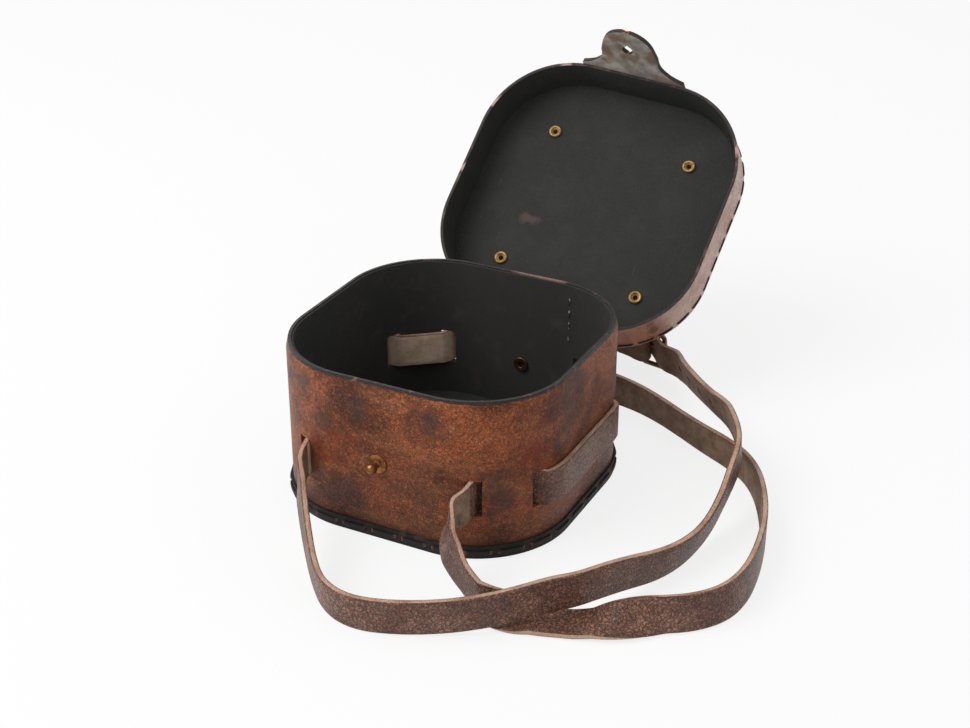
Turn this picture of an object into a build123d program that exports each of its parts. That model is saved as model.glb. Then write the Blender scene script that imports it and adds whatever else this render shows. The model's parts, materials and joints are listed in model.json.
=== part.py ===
from build123d import *
from math import atan2, ceil, cos, degrees, pi, radians, sin, tan
import os

os.makedirs("parts", exist_ok=True)

# A round-cornered leather case with a telescoping lid that is laid back open, a carrying
# strap woven through eight slots in its wall, and a tongue that buttons on a brass stud.
# Millimetres. Origin: centre of the base, on the table. Front -Y, right +X, hinge +Y.

# ---------- driving dimensions ----------
# case
case_width = 127.0
case_depth = 125.0
case_corner = 41.5
case_height = 72.0
wall_leather = 2.2
wall_lining = 1.0
lining_drop = 0.6
rim_pare = 0.9
rim_pare_height = 4.0
base_thickness = 3.0
band_thickness = 1.0
band_height = 6.0
band_lift = 0.2
floor_lining_thickness = 1.0

# laces and stitches
base_lace_width = 1.8
base_lace_thickness = 0.7
base_lace_height = 3.0
base_lace_count = 31
lid_lace_width = 1.3
lid_lace_thickness = 0.6
lid_lace_drop = 2.6
lid_lace_count = 44
lace_gap = 2.0
lace_end = 0.8
thread_width = 0.9
thread_thickness = 0.5
thread_rest = 0.01
seam_past_flat = 6.0
seam_bottom = 44.0
seam_top = 65.0
seam_stitch = 3.0
leaf_stitch = 3.2
leaf_stitch_pitch = 5.2
leaf_row_low = 2.6
leaf_row_high = 2.2
tongue_row_low = 4.0
tongue_row_high = 2.0
tongue_stitch_pitch = 5.72
tongue_stitch_columns = 9

# lid, as it sits when closed
skirt_leather = 2.0
skirt_depth = 22.15
front_clearance = 2.1
back_clearance = 0.3
side_clearance = 1.0
mouth_pare = 0.6
mouth_pare_height = 3.0
plate_thickness = 2.6
lid_lining_thickness = 0.8
lid_seat_gap = 0.3
eyelet_half_spread = 36.1
eyelet_front_y = -35.0
eyelet_back_y = 37.1
eyelet_offset_x = 0.75
eyelet_ring_radius = 3.25
eyelet_bore_radius = 1.3
eyelet_wire_radius = 0.75
cap_radius = 5.0
cap_height = 2.0

# hinge: a leather flap whose bend runs along a slightly skewed axis
hinge_behind_skirt = 6.2
hinge_below_mouth = 9.25
hinge_yaw = -1.05
hinge_pitch = -2.55
lid_open_angle = 136.2
leaf_past_flat = 6.0
leaf_thickness = 2.0
leaf_tip_gap = 1.1
case_leaf_bottom = 16.0
case_leaf_bend = 37.0
lid_leaf_height = 15.0
lid_leaf_bend = 3.4

# tongue and stud
tongue_thickness = 2.2
tongue_center_x = -2.2
tongue_root_half = 27.5
tongue_neck_half = 14.6
tongue_neck_length = 14.6
tongue_shoulder_half = 16.6
tongue_shoulder_length = 7.0
tongue_tip_half = 12.8
tongue_tip_start = 21.5
tongue_length = 30.9
tongue_rest_angle = 10.0
tongue_hole_radius = 2.75
tongue_hole_length = 18.2
tongue_joint_gap = 0.35
tongue_root_edge = 0.4
tongue_base_height = 15.0
stud_height = 35.6
stud_flange_radius = 4.3
stud_flange_thickness = 1.0
stud_neck_radius = 1.4
stud_ball_radius = 2.3
stud_ball_reach = 4.9
screw_head_radius = 4.0
screw_head_thickness = 1.2
screw_depth = 1.6
screw_slot = 0.9
screw_shank_radius = 1.05

# strap
strap_width = 15.5
strap_thickness = 2.6
strap_height = 28.1
strap_clearance = 0.35
slot_width = 7.2
slot_side_clearance = 0.4
slot_crossing_angle = 50.0
last_crossing_angle = 65.0
bend_radius = 3.0
strap_exit = 2.0
strap_lead = 4.0
leaf_strap_gap = 0.15
leaf_crossing_margin = 1.5
front_left_slots = (25.0, 78.0)
front_right_slots = (25.0, 65.0)
back_left_slots = (18.0, 57.5)
back_right_slots = (18.0, 76.0)
rivet_x = 3.5
rivet_height = 26.5
rivet_radius = 1.5
rivet_head_radius = 4.0
rivet_head_height = 1.6
burr_radius = 3.5
burr_thickness = 1.0
rivet_swage = 0.4

# buckle, in its own frame: U along the strap, V through it, Z up
buckle_place = (41.5, 130.2, 11.2)
buckle_heading = -12.0
buckle_lean = 12.0
buckle_wire = 1.2
buckle_clearance = 0.7
heel_u = -6.5
toe_u = 7.5
prong_radius = 1.0
prong_fit = 0.1
prong_room = 0.5
prong_overhang = 1.6
fold_layer_v = 1.45
fold_length = 13.5
fold_rivet_u = -17.2
tail_layer_v = 4.4
tail_end_u = -37.0
fold_entry_u = -18.5
fold_lead_u = -31.0
fold_bend = 4.0
fold_ease = 5.0
prong_height = 2.6
rivet_washer_height = 0.9
rivet_washer_radius = 3.2
keeper_u = -25.0
keeper_width = 6.0
keeper_thickness = 1.4
keeper_clearance = 0.4
punch_radius = 1.7
punch_start = 26.0
punch_pitch = 16.0
punch_count = 4

# ---------- what follows from them ----------
wall = wall_leather + wall_lining
flat_half = case_width / 2 - case_corner
seam_x = flat_half + seam_past_flat
leaf_half_width = flat_half + leaf_past_flat
lid_width = case_width + 2 * (side_clearance + skirt_leather)
lid_depth = case_depth + front_clearance + back_clearance + 2 * skirt_leather
lid_corner = case_corner + skirt_leather
lid_shift = (back_clearance - front_clearance) / 2
plate_bottom = case_height + lid_seat_gap + lid_lining_thickness
lid_top = plate_bottom + plate_thickness
mouth = lid_top - skirt_depth
skirt_front = lid_shift - lid_depth / 2
skirt_back = lid_shift + lid_depth / 2
wall_front = -case_depth / 2
wall_back = case_depth / 2
hinge_point = Vector(0, skirt_back + hinge_behind_skirt, mouth - hinge_below_mouth)
hinge_direction = Vector(
    cos(radians(hinge_pitch)) * cos(radians(hinge_yaw)),
    cos(radians(hinge_pitch)) * sin(radians(hinge_yaw)),
    sin(radians(hinge_pitch)),
)
hinge_axis = Axis(hinge_point, hinge_direction)
strap_half = strap_thickness / 2
upward = Vector(0, 0, 1)


def save(name, *solids):
    """Write one node, as one solid or a group of solids."""
    shape = solids[0] if len(solids) == 1 else Compound(children=list(solids))
    export_step(shape, f"parts/{name}.step")


def solids_of(shape):
    return list(shape.solids())


def case_outline(grow=0.0, z=0.0):
    """The case in plan, grown or shrunk evenly, at a height."""
    plan = RectangleRounded(case_width + 2 * grow, case_depth + 2 * grow, case_corner + grow)
    return Pos(0, 0, z) * plan


def lid_outline(grow=0.0, z=0.0):
    """The closed lid in plan, grown or shrunk evenly, at a height."""
    plan = RectangleRounded(lid_width + 2 * grow, lid_depth + 2 * grow, lid_corner + grow)
    return Pos(0, lid_shift, z) * plan


def ring(outline, outer, inner, bottom, top):
    """An upright ring between two growths of an outline."""
    height = top - bottom
    return extrude(outline(outer, bottom), height) - extrude(outline(inner, bottom), height)


def on_outline(distance, width, depth, corner):
    """Point and outward heading at a distance round an outline from its front middle."""
    flat_x = width / 2 - corner
    flat_y = depth / 2 - corner
    foot = Vector(0, -flat_y, 0)
    heading = -90.0
    for run in (flat_x, 2 * flat_y, 2 * flat_x, 2 * flat_y, flat_x):
        step = min(distance, run)
        foot += Vector(1, 0, 0).rotate(Axis.Z, heading + 90) * step
        distance -= step
        turn = min(distance, corner * pi / 2)
        heading += degrees(turn / corner)
        distance -= turn
    return foot + Vector(1, 0, 0).rotate(Axis.Z, heading) * corner, heading


def outline_length(width, depth, corner):
    return 2 * (width + depth) - 8 * corner + 2 * pi * corner


def rod(radius, start, end):
    """A round rod from one point to another."""
    along = Vector(end) - Vector(start)
    low_end = (Align.CENTER, Align.CENTER, Align.MIN)
    return Plane(start, z_dir=along) * Cylinder(radius, along.length, align=low_end)


def open_lid(shape):
    """Carry a piece of the closed lid to where the lid lies open."""
    return shape.rotate(hinge_axis, -lid_open_angle)


def running_lace(outline, size, height, width, thickness, reach, count, shift):
    """Flat lace in a running stitch: one solid for each run, and the holes for their ends."""
    lace = ring(outline, thickness, 0, height - width / 2, height + width / 2)
    length = outline_length(*size)
    gaps = []
    ends = []
    for number in range(count):
        for side in (-1, 0, 1):
            away = side * (lace_gap + lace_end) / 2
            point, heading = on_outline((length * (number + 0.5) / count + away) % length, *size)
            place = Pos(point.X, point.Y + shift, height) * Rot(0, 0, heading)
            if side == 0:
                gaps.append(place * Box(6 * thickness, lace_gap, 2 * width))
            else:
                block = Box(reach + thickness / 2, lace_end, width)
                ends.append(place * Pos((thickness / 2 - reach) / 2, 0, 0) * block)
    return lace - gaps + ends, ends


# ---------- case shell ----------
pare_start = case_height - rim_pare_height
wall_outside = extrude(case_outline(0, base_thickness), pare_start - base_thickness)
wall_outside += loft([case_outline(0, pare_start), case_outline(-rim_pare, case_height)])
wall_inside = extrude(case_outline(-wall_leather, base_thickness), case_height)
case_wall = wall_outside - wall_inside

lining_top = case_height - lining_drop
case_lining = ring(case_outline, -wall_leather, -wall, base_thickness, lining_top)
base_plate = extrude(case_outline(), base_thickness)
floor_lining = extrude(case_outline(-wall, base_thickness), floor_lining_thickness)
base_band = ring(case_outline, band_thickness, 0, band_lift, band_height)

# ---------- lace round the base ----------
band_size = (
    case_width + 2 * band_thickness,
    case_depth + 2 * band_thickness,
    case_corner + band_thickness,
)


def band_outline(grow=0.0, z=0.0):
    return case_outline(band_thickness + grow, z)


base_lacing, base_lace_ends = running_lace(
    band_outline,
    band_size,
    base_lace_height,
    base_lace_width,
    base_lace_thickness,
    band_thickness,
    base_lace_count,
    0.0,
)
base_band -= base_lace_ends

# ---------- slots, and the strap's way through them ----------
left, right, front, back = -1, 1, -1, 1
woven_corners = [
    (left, front, front_left_slots),
    (left, back, back_left_slots),
    (right, back, back_right_slots),
    (right, front, front_right_slots),
]


def corner_point(side, end, angle, grow):
    """Point on a corner of the grown outline, at an angle from the front or back normal."""
    reach = case_corner + grow
    return Vector(
        side * (case_width / 2 - case_corner + reach * sin(radians(angle))),
        end * (case_depth / 2 - case_corner + reach * cos(radians(angle))),
        0,
    )


slot_height = strap_width + 2 * slot_side_clearance
slot_cutters = []
for side, end, angles in woven_corners:
    for angle in angles:
        middle = corner_point(side, end, angle, -wall / 2)
        heading = degrees(atan2(end * cos(radians(angle)), side * sin(radians(angle))))
        cutter = Box(4 * wall, slot_width, slot_height)
        slot_cutters.append(Pos(middle.X, middle.Y, strap_height) * Rot(0, 0, heading) * cutter)

outside_offset = strap_half + strap_clearance
inside_offset = -(wall + strap_half + strap_clearance)
crossing_rise = (outside_offset - inside_offset) / 2


def crossing_turn(steepness):
    """How far round the corner the strap moves while it passes half the wall."""
    return degrees(crossing_rise / tan(radians(steepness)) / case_corner)


def crossing(side, end, angle, outward, steepness=slot_crossing_angle):
    """Outside and inside corners of the strap's way through a slot."""
    turn = outward * crossing_turn(steepness)
    outer = corner_point(side, end, angle + turn, outside_offset)
    inner = corner_point(side, end, angle - turn, inside_offset)
    return outer, inner


def side_run(side, near_angle, far_angle):
    """Corners of an outside run that follows one long side, from the front to the back."""
    corners = []
    radii = []
    face = side * (case_width / 2 + outside_offset)
    for end, angle in ((front, near_angle), (back, far_angle)):
        half_turn = radians(90 - angle - crossing_turn(slot_crossing_angle)) / 2
        reach = (case_corner + outside_offset) * tan(half_turn)
        flat_y = end * (case_depth / 2 - case_corner)
        corners.append(Vector(face, flat_y + end * reach, 0))
        spare = bend_radius * tan(radians(slot_crossing_angle) / 2) + 0.2
        radii.append((reach - spare) / tan(half_turn))
    return corners, radii


first_out, first_in = crossing(left, front, front_left_slots[0], -1)
left_near_out, left_near_in = crossing(left, front, front_left_slots[1], 1)
left_far_out, left_far_in = crossing(left, back, back_left_slots[1], 1)
back_left_out, back_left_in = crossing(left, back, back_left_slots[0], -1)
back_right_out, back_right_in = crossing(right, back, back_right_slots[0], -1)
right_far_out, right_far_in = crossing(right, back, back_right_slots[1], 1)
right_near_out, right_near_in = crossing(right, front, front_right_slots[1], 1)
last_out, last_in = crossing(right, front, front_right_slots[0], -1, last_crossing_angle)
first_way = (first_out - first_in).normalized()
last_way = (last_out - last_in).normalized()
left_corners, left_radii = side_run(left, front_left_slots[1], back_left_slots[1])
right_corners, right_radii = side_run(right, front_right_slots[1], back_right_slots[1])
leaf_crossing_y = wall_back + leaf_thickness + strap_half + leaf_strap_gap
leaf_crossing_x = leaf_half_width + leaf_crossing_margin

woven_route = [
    first_out + first_way * strap_exit,
    first_in,
    left_near_in,
    left_near_out,
    *left_corners,
    left_far_out,
    left_far_in,
    back_left_in,
    back_left_out,
    Vector(-leaf_crossing_x, leaf_crossing_y, 0),
    Vector(leaf_crossing_x, leaf_crossing_y, 0),
    back_right_out,
    back_right_in,
    right_far_in,
    right_far_out,
    *reversed(right_corners),
    right_near_out,
    right_near_in,
    last_in,
    last_out + last_way * strap_exit,
]
small = bend_radius
woven_radii = [small, small, small, *left_radii, small, small, small, small, small, small]
woven_radii += [small, small, small, small, *reversed(right_radii), small, small, small]


def ribbon(route, radii, thickness, width, bottom):
    """A strip standing on edge along a level route of filleted corners."""
    half = thickness / 2
    edges = []
    for side in (1, -1):
        rim = []
        rim_radii = []
        for number, point in enumerate(route):
            before = route[max(number - 1, 0)]
            after = route[min(number + 1, len(route) - 1)]
            way_in = (point - before) if number > 0 else (after - point)
            way_out = (after - point) if number < len(route) - 1 else (point - before)
            normal_in = way_in.normalized().rotate(Axis.Z, 90 * side)
            normal_out = way_out.normalized().rotate(Axis.Z, 90 * side)
            mitre = (normal_in + normal_out).normalized()
            rim.append(point + mitre * (half / mitre.dot(normal_in)))
            if 0 < number < len(route) - 1:
                turn = way_in.cross(way_out).Z
                inward = half if turn * side > 0 else -half
                rim_radii.append(max(radii[number - 1] - inward, 0.1))
        edges.append(FilletPolyline(*rim, radius=rim_radii))
    caps = [Line(edges[0] @ 0, edges[1] @ 0), Line(edges[0] @ 1, edges[1] @ 1)]
    face = make_face(Curve() + edges + caps)
    return extrude(Pos(0, 0, bottom) * face, width)


strap_woven = ribbon(
    woven_route, woven_radii, strap_thickness, strap_width, strap_height - strap_width / 2
)

# ---------- the strap's free ends ----------
floor_z = strap_width / 2 + 0.1


def in_buckle(u, v, z=0.0):
    """A point in the leaning buckle's frame, as a point in the case's."""
    leaning = Vector(u, v, z).rotate(Axis.X, buckle_lean)
    return leaning.rotate(Axis.Z, buckle_heading) + Vector(*buckle_place)


def strap_along(route, leans):
    """The strap on edge along a route in space, leaning where told, and its length."""
    points = [Vector(*point) for point in route]
    radii = []
    for before, point, after in zip(points, points[1:], points[2:]):
        half_turn = radians((point - before).get_angle(after - point)) / 2
        shorter = min((point - before).length, (after - point).length)
        radii.append(min(0.45 * shorter / tan(half_turn), 60.0))
    path = FilletPolyline(*points, radius=radii)
    stations = [0.0]
    for edge in path.edges():
        turn = (edge % 0).get_angle(edge % 1)
        steps = max(1, ceil(turn / 11))
        stations += [stations[-1] + edge.length / steps * (step + 1) for step in range(steps)]
    marks = [0.0]
    for before, point in zip(points, points[1:]):
        marks.append(marks[-1] + (point - before).length)
    sections = []
    for station in stations:
        distance = min(station, path.length)
        origin = path.position_at(distance, position_mode=PositionMode.LENGTH)
        along = path.tangent_at(distance, position_mode=PositionMode.LENGTH)
        share = distance / path.length * marks[-1]
        number = max(i for i, mark in enumerate(marks[:-1]) if mark <= share)
        part = (share - marks[number]) / (marks[number + 1] - marks[number])
        lean = leans[number] + (leans[number + 1] - leans[number]) * part
        across = (upward - along * along.Z).normalized()
        across = across.rotate(Axis((0, 0, 0), along), -lean)
        section = Plane(origin, x_dir=across, z_dir=along)
        sections.append(section * Rectangle(strap_width, strap_thickness))
    print("free strap", round(path.length, 1), "mm, tightest bend", round(min(radii), 1))
    return loft(sections, ruled=True), path.length


# (x, y, height of the middle, lean): out of the front left slot, along the table in front of
# the case, over the other end, round behind it, over that end again and into the buckle
long_end_route = [
    (-32.6, -74.2, 26.6, 8),
    (-25.0, -84.8, 21.7, 4),
    (-15.6, -96.5, 15.4, 1),
    (-5.3, -108.6, 10.2, -3),
    (5.8, -119.0, 8.1, -5),
    (20.7, -123.4, 8.1, -5),
    (37.2, -118.7, 8.1, -5),
    (54.0, -110.6, 8.8, -5),
    (68.6, -102.4, 11.2, -4),
    (79.6, -93.6, 13.3, -2),
    (87.3, -85.7, 14.5, -1),
    (94.5, -79.0, 14.6, -2),
    (100.8, -68.6, 14.4, -3),
    (106.3, -55.8, 11.9, -6),
    (112.2, -42.8, 8.9, -9),
    (117.1, -30.9, 8.1, -13),
    (120.0, -18.4, 8.3, -15),
    (121.7, -5.7, 10.8, -13),
    (122.4, 6.0, 16.6, -10),
    (122.2, 16.4, 21.9, -4),
    (121.2, 27.2, 24.6, 0),
    (118.0, 37.7, 25.1, 5),
    (112.5, 49.1, 25.0, 10),
    (105.7, 60.7, 24.0, 13),
    (92.7, 76.6, 19.8, 22),
    (81.1, 90.7, 17.0, 22),
    (69.4, 105.6, 14.2, 20),
    (63.0, 115.4, 12.2, 16),
]
buckle_ways = [(16.5, -4.2), (7.2, -3.6), (-3.0, 5.2), (-9.5, 6.6), (-16.5, tail_layer_v + 0.2)]

# (x, y, height of the middle, lean): out of the front right slot, down on to the table, lying
# over under the other end, round to the back, and home behind the case to the buckle
short_end_route = [
    (37.4, -72.4, 26.2, 4),
    (36.6, -79.4, 21.6, 0),
    (41.4, -86.0, 17.4, -4),
    (49.6, -91.2, 12.8, 0),
    (57.6, -93.6, 8.6, 40),
    (66.6, -93.2, 3.6, 78),
    (76.4, -90.4, 1.9, 88),
    (88.0, -86.6, 1.9, 88),
    (99.3, -83.2, 2.5, 84),
    (112.4, -78.9, 6.4, 48),
    (124.6, -72.0, 8.2, 10),
    (136.9, -64.0, 8.1, 10),
    (145.5, -52.4, 8.1, 8),
    (148.1, -38.0, floor_z, 5),
    (147.1, -22.4, floor_z, 2),
    (144.5, -6.9, floor_z, 0),
    (140.6, 8.2, floor_z, 0),
    (134.8, 23.1, floor_z, 0),
    (127.5, 37.3, floor_z, 1),
    (118.3, 48.7, 7.9, 4),
    (106.2, 56.7, 8.0, 6),
    (92.7, 63.3, 8.0, 9),
    (78.8, 71.5, 8.0, 11),
    (65.5, 79.4, 8.0, 10),
    (51.7, 85.8, 8.0, 7),
    (36.9, 89.9, floor_z, 2),
    (22.0, 91.0, floor_z, 0),
    (8.5, 94.0, floor_z, 0),
    (-1.0, 102.4, 8.2, 0),
    (-3.4, 113.8, 9.0, -3),
    (1.6, 124.8, 10.0, -8),
    (10.2, 132.6, 11.0, -12),
]


def free_route(start, way, rows, finish, finish_lean):
    """Slot, hand-placed points and finish, with their leans."""
    lead = Vector(start.X, start.Y, strap_height)
    first = [lead, lead + way * strap_lead]
    route = first + [Vector(x, y, z) for x, y, z, lean in rows] + finish
    leans = [0, 0] + [lean for x, y, z, lean in rows] + [finish_lean] * len(finish)
    return route, leans


buckle_leg = [in_buckle(u, v) for u, v in buckle_ways] + [in_buckle(tail_end_u, tail_layer_v)]
long_route, long_leans = free_route(
    woven_route[0], first_way, long_end_route, buckle_leg, buckle_lean
)
strap_long_end, long_length = strap_along(long_route, long_leans)

fold_lead = [in_buckle(fold_lead_u, fold_layer_v), in_buckle(fold_entry_u, fold_layer_v)]
short_route, short_leans = free_route(
    woven_route[-1], last_way, short_end_route, fold_lead, -buckle_lean
)
strap_short_end, short_length = strap_along(short_route, short_leans)

# the tail's point, the prong's way and the row of punched holes
tail_corner = strap_width / 2
for side in (1, -1):
    corner = in_buckle(tail_end_u, tail_layer_v, side * tail_corner)
    wedge = Plane(corner, z_dir=in_buckle(0, 1) - in_buckle(0, 0)) * Box(
        1.2 * tail_corner, 1.2 * tail_corner, 3 * strap_thickness
    )
    turned = wedge.rotate(Axis(corner, in_buckle(0, 1) - in_buckle(0, 0)), 45)
    strap_long_end -= turned

prong_line_v = buckle_wire + prong_radius + prong_fit
prong_way = rod(
    prong_radius + prong_room,
    in_buckle(heel_u + prong_radius + prong_fit, prong_line_v),
    in_buckle(toe_u - buckle_wire, prong_line_v),
)
strap_long_end -= prong_way
hole_route = [Vector(x, y, z) for x, y, z, lean in long_end_route][::-1]
to_buckle = Vector(*buckle_place)
for number in range(punch_count):
    remaining = punch_start + number * punch_pitch
    here = to_buckle
    for there in hole_route:
        span = (there - here).length
        if remaining <= span:
            middle = here + (there - here) * (remaining / span)
            face_way = (there - here).cross(upward).normalized()
            reach = face_way * 2 * strap_thickness
            strap_long_end -= rod(punch_radius, middle - reach, middle + reach)
            break
        remaining -= span
        here = there

# ---------- buckle ----------
strap_gap = strap_width / 2 + buckle_clearance
fold_half = buckle_wire + prong_fit + strap_thickness / 2
fold_turn = fold_half - 0.1
fold_shoulder = fold_half - prong_fit / 2
fold_face = ribbon(
    [
        Vector(fold_entry_u, fold_layer_v, 0),
        Vector(fold_entry_u + fold_ease, fold_layer_v, 0),
        Vector(heel_u - fold_shoulder, fold_half, 0),
        Vector(heel_u + fold_half, fold_half, 0),
        Vector(heel_u + fold_half, -fold_half, 0),
        Vector(heel_u - fold_shoulder, -fold_half, 0),
        Vector(fold_entry_u + fold_ease, -fold_layer_v, 0),
        Vector(heel_u - fold_length, -fold_layer_v, 0),
    ],
    [fold_bend, fold_bend, fold_turn, fold_turn, fold_bend, fold_bend],
    strap_thickness,
    strap_width,
    -strap_width / 2,
)
prong_slot_height = prong_height + 2 * keeper_clearance
fold_face -= Pos(heel_u + 1.0, 0, 0) * Box(4 * fold_half, 5 * fold_half, prong_slot_height)
fold_place = Pos(*buckle_place) * Rot(0, 0, buckle_heading) * Rot(buckle_lean, 0, 0)
strap_fold = fold_place * fold_face
rivet_top_v = fold_layer_v + strap_half
fold_hole = rod(
    rivet_radius, in_buckle(fold_rivet_u, -2 * rivet_top_v), in_buckle(fold_rivet_u, rivet_top_v)
)
strap_short_end = strap_short_end + strap_fold - fold_hole

buckle_frame = Part()
for bar_u in (heel_u, toe_u):
    reach = strap_gap + buckle_wire
    buckle_frame += rod(buckle_wire, Vector(bar_u, 0, -reach), Vector(bar_u, 0, reach))
for end in (-1, 1):
    height = end * (strap_gap + buckle_wire)
    low = Vector(heel_u - buckle_wire, 0, height)
    buckle_frame += rod(buckle_wire, low, Vector(toe_u + buckle_wire, 0, height))
buckle_frame = fold_place * buckle_frame

prong_tip = toe_u + prong_overhang
prong = rod(prong_radius, Vector(heel_u, prong_line_v, 0), Vector(prong_tip, prong_line_v, 0))
prong += Pos(heel_u, 0, 0) * Cylinder(prong_line_v + prong_radius, prong_height)
prong -= Pos(heel_u, 0, 0) * Cylinder(buckle_wire + prong_fit, 3 * prong_height)
buckle_prong = fold_place * prong

fold_rivet = rod(
    rivet_radius,
    Vector(fold_rivet_u, -rivet_top_v, 0),
    Vector(fold_rivet_u, rivet_top_v, 0),
)
fold_rivet += rod(
    rivet_washer_radius,
    Vector(fold_rivet_u, -rivet_top_v - rivet_washer_height, 0),
    Vector(fold_rivet_u, -rivet_top_v, 0),
)
buckle_rivet = fold_place * fold_rivet

keeper_inner_v = tail_layer_v + strap_half + keeper_clearance
keeper_middle = (keeper_inner_v + fold_layer_v - strap_half - keeper_clearance) / 2
keeper_depth = keeper_inner_v - (fold_layer_v - strap_half - keeper_clearance)
keeper_tall = strap_width + 2 * keeper_clearance
keeper_shell = Box(keeper_width, keeper_depth + 2 * keeper_thickness, keeper_tall + 2 * keeper_thickness)
keeper_shell -= Box(2 * keeper_width, keeper_depth, keeper_tall)
strap_keeper = fold_place * Pos(keeper_u, keeper_middle, 0) * keeper_shell

# ---------- hinge flap, in two leaves that meet at its bend ----------


def strip_section(points, thickness, x):
    """A bent strip of even thickness, as a face across the hinge."""
    left_side = []
    right_side = []
    for number, point in enumerate(points):
        before = points[max(number - 1, 0)]
        after = points[min(number + 1, len(points) - 1)]
        way_in = (point - before) if number > 0 else (after - point)
        way_out = (after - point) if number < len(points) - 1 else (point - before)
        normal_in = way_in.normalized().rotate(Axis.X, 90)
        normal_out = way_out.normalized().rotate(Axis.X, 90)
        mitre = (normal_in + normal_out).normalized()
        shift = mitre * (thickness / 2 / mitre.dot(normal_in))
        left_side.append(point + shift)
        right_side.append(point - shift)
    loop = [Vector(x, p.Y, p.Z) for p in left_side + right_side[::-1]]
    return make_face(Polyline(*loop, close=True))


def hinge_leaf(root, bend):
    """A leaf from its root over its bend to just short of the skewed hinge axis."""
    faces = []
    for x in (-leaf_half_width, leaf_half_width):
        pivot = hinge_point + hinge_direction * (x / hinge_direction.X)
        pivot = Vector(0, pivot.Y, pivot.Z)
        tip = pivot + (bend - pivot).normalized() * leaf_tip_gap
        faces.append(strip_section([root, bend, tip], leaf_thickness, x))
    return loft(faces, ruled=True)


case_leaf_y = wall_back + leaf_thickness / 2
hinge_leaf_case = hinge_leaf(
    Vector(0, case_leaf_y, case_leaf_bottom), Vector(0, case_leaf_y, case_leaf_bend)
)
lid_leaf_y = skirt_back + leaf_thickness / 2
lid_leaf_bottom = mouth + lid_leaf_bend
hinge_leaf_lid = hinge_leaf(
    Vector(0, lid_leaf_y, lid_leaf_bottom + lid_leaf_height), Vector(0, lid_leaf_y, lid_leaf_bottom)
)
hinge_stitches = []
stitch_columns = int(2 * (leaf_half_width - leaf_stitch) / leaf_stitch_pitch) + 1
for row in (lid_leaf_bottom + leaf_row_low, lid_leaf_bottom + lid_leaf_height - leaf_row_high):
    for column in range(stitch_columns):
        x = (column - (stitch_columns - 1) / 2) * leaf_stitch_pitch
        outer_y = skirt_back + leaf_thickness + thread_thickness / 2
        hinge_stitches.append(
            Pos(x, outer_y, row) * Box(leaf_stitch, thread_thickness, thread_width)
        )

# ---------- rivet through the strap, the case leaf and the back wall ----------
rivet_outer_y = leaf_crossing_y + strap_half
rivet_inner_y = wall_back - wall - burr_thickness - rivet_swage
rivet_shank = rod(
    rivet_radius, Vector(rivet_x, rivet_inner_y, rivet_height), Vector(rivet_x, rivet_outer_y, rivet_height)
)
rivet_sphere = (rivet_head_radius**2 + rivet_head_height**2) / (2 * rivet_head_height)
dome = Sphere(rivet_sphere) - Pos(0, 0, -rivet_head_height) * Box(
    3 * rivet_sphere, 3 * rivet_sphere, 2 * rivet_sphere
)
dome_place = Plane((rivet_x, rivet_outer_y, rivet_height), z_dir=(0, 1, 0))
rivet_head = dome_place * Pos(0, 0, rivet_head_height - rivet_sphere) * dome
strap_rivet = rivet_shank + rivet_head
burr_inner_y = wall_back - wall - burr_thickness
rivet_burr = rod(
    burr_radius, Vector(rivet_x, burr_inner_y, rivet_height), Vector(rivet_x, wall_back - wall, rivet_height)
)
rivet_burr -= rivet_shank

# ---------- stud and its screw ----------
stud_x = tongue_center_x
stud_base = Vector(stud_x, wall_front, stud_height)
outward = Vector(0, -1, 0)
ball_middle = stud_base + outward * stud_ball_reach
stud = rod(stud_flange_radius, stud_base, stud_base + outward * stud_flange_thickness)
stud += rod(stud_neck_radius, stud_base, ball_middle)
stud += Pos(*ball_middle) * Sphere(stud_ball_radius)
screw_inner = stud_base - outward * wall
screw_tip = stud_base + outward * screw_depth
stud_screw = rod(screw_shank_radius, screw_inner, screw_tip)
stud_bore = rod(screw_shank_radius, stud_base, screw_tip)
stud -= stud_bore
stud_screw += rod(screw_head_radius, screw_inner - outward * screw_head_thickness, screw_inner)
slot_block = Box(2.2 * screw_head_radius, screw_head_thickness, screw_slot)
slot_y = wall_front + wall + screw_head_thickness
stud_screw -= Pos(stud_x, slot_y, stud_height) * slot_block

# ---------- seam thread at the back of the wall ----------
seam_count = int((seam_top - seam_bottom) / seam_stitch)
seam_angle = degrees(atan2(seam_x - flat_half, case_corner))
seam_outside = corner_point(right, back, seam_angle, 0)
seam_heading = 90 - seam_angle
seam_place = Pos(seam_outside.X, seam_outside.Y, 0) * Rot(0, 0, seam_heading)
seam_thread = Part()
seam_holes = []
for number in range(seam_count):
    low = seam_bottom + number * seam_stitch
    outside = number % 2 == 1
    run_x = -thread_thickness / 2 if outside else -wall - thread_thickness / 2 - thread_rest
    run_block = Box(thread_thickness, thread_width, seam_stitch + thread_width)
    seam_run = seam_place * Pos(run_x, 0, low + seam_stitch / 2) * run_block
    seam_thread += seam_run
    if outside:
        seam_holes.append(seam_run)
for number in range(seam_count - 1):
    height = seam_bottom + (number + 1) * seam_stitch
    link_block = Box(wall + thread_rest, thread_width, thread_width)
    link = seam_place * Pos(-(wall + thread_rest) / 2, 0, height) * link_block
    seam_holes.append(link)
    seam_thread += link

# ---------- cut the wall and its lining ----------
stud_hole = rod(screw_shank_radius, screw_inner, stud_base)
wall_cuts = slot_cutters + seam_holes + [rivet_shank, stud_hole]
case_wall -= wall_cuts
case_lining -= wall_cuts
hinge_leaf_case -= rivet_shank
strap_woven -= rivet_shank

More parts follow.
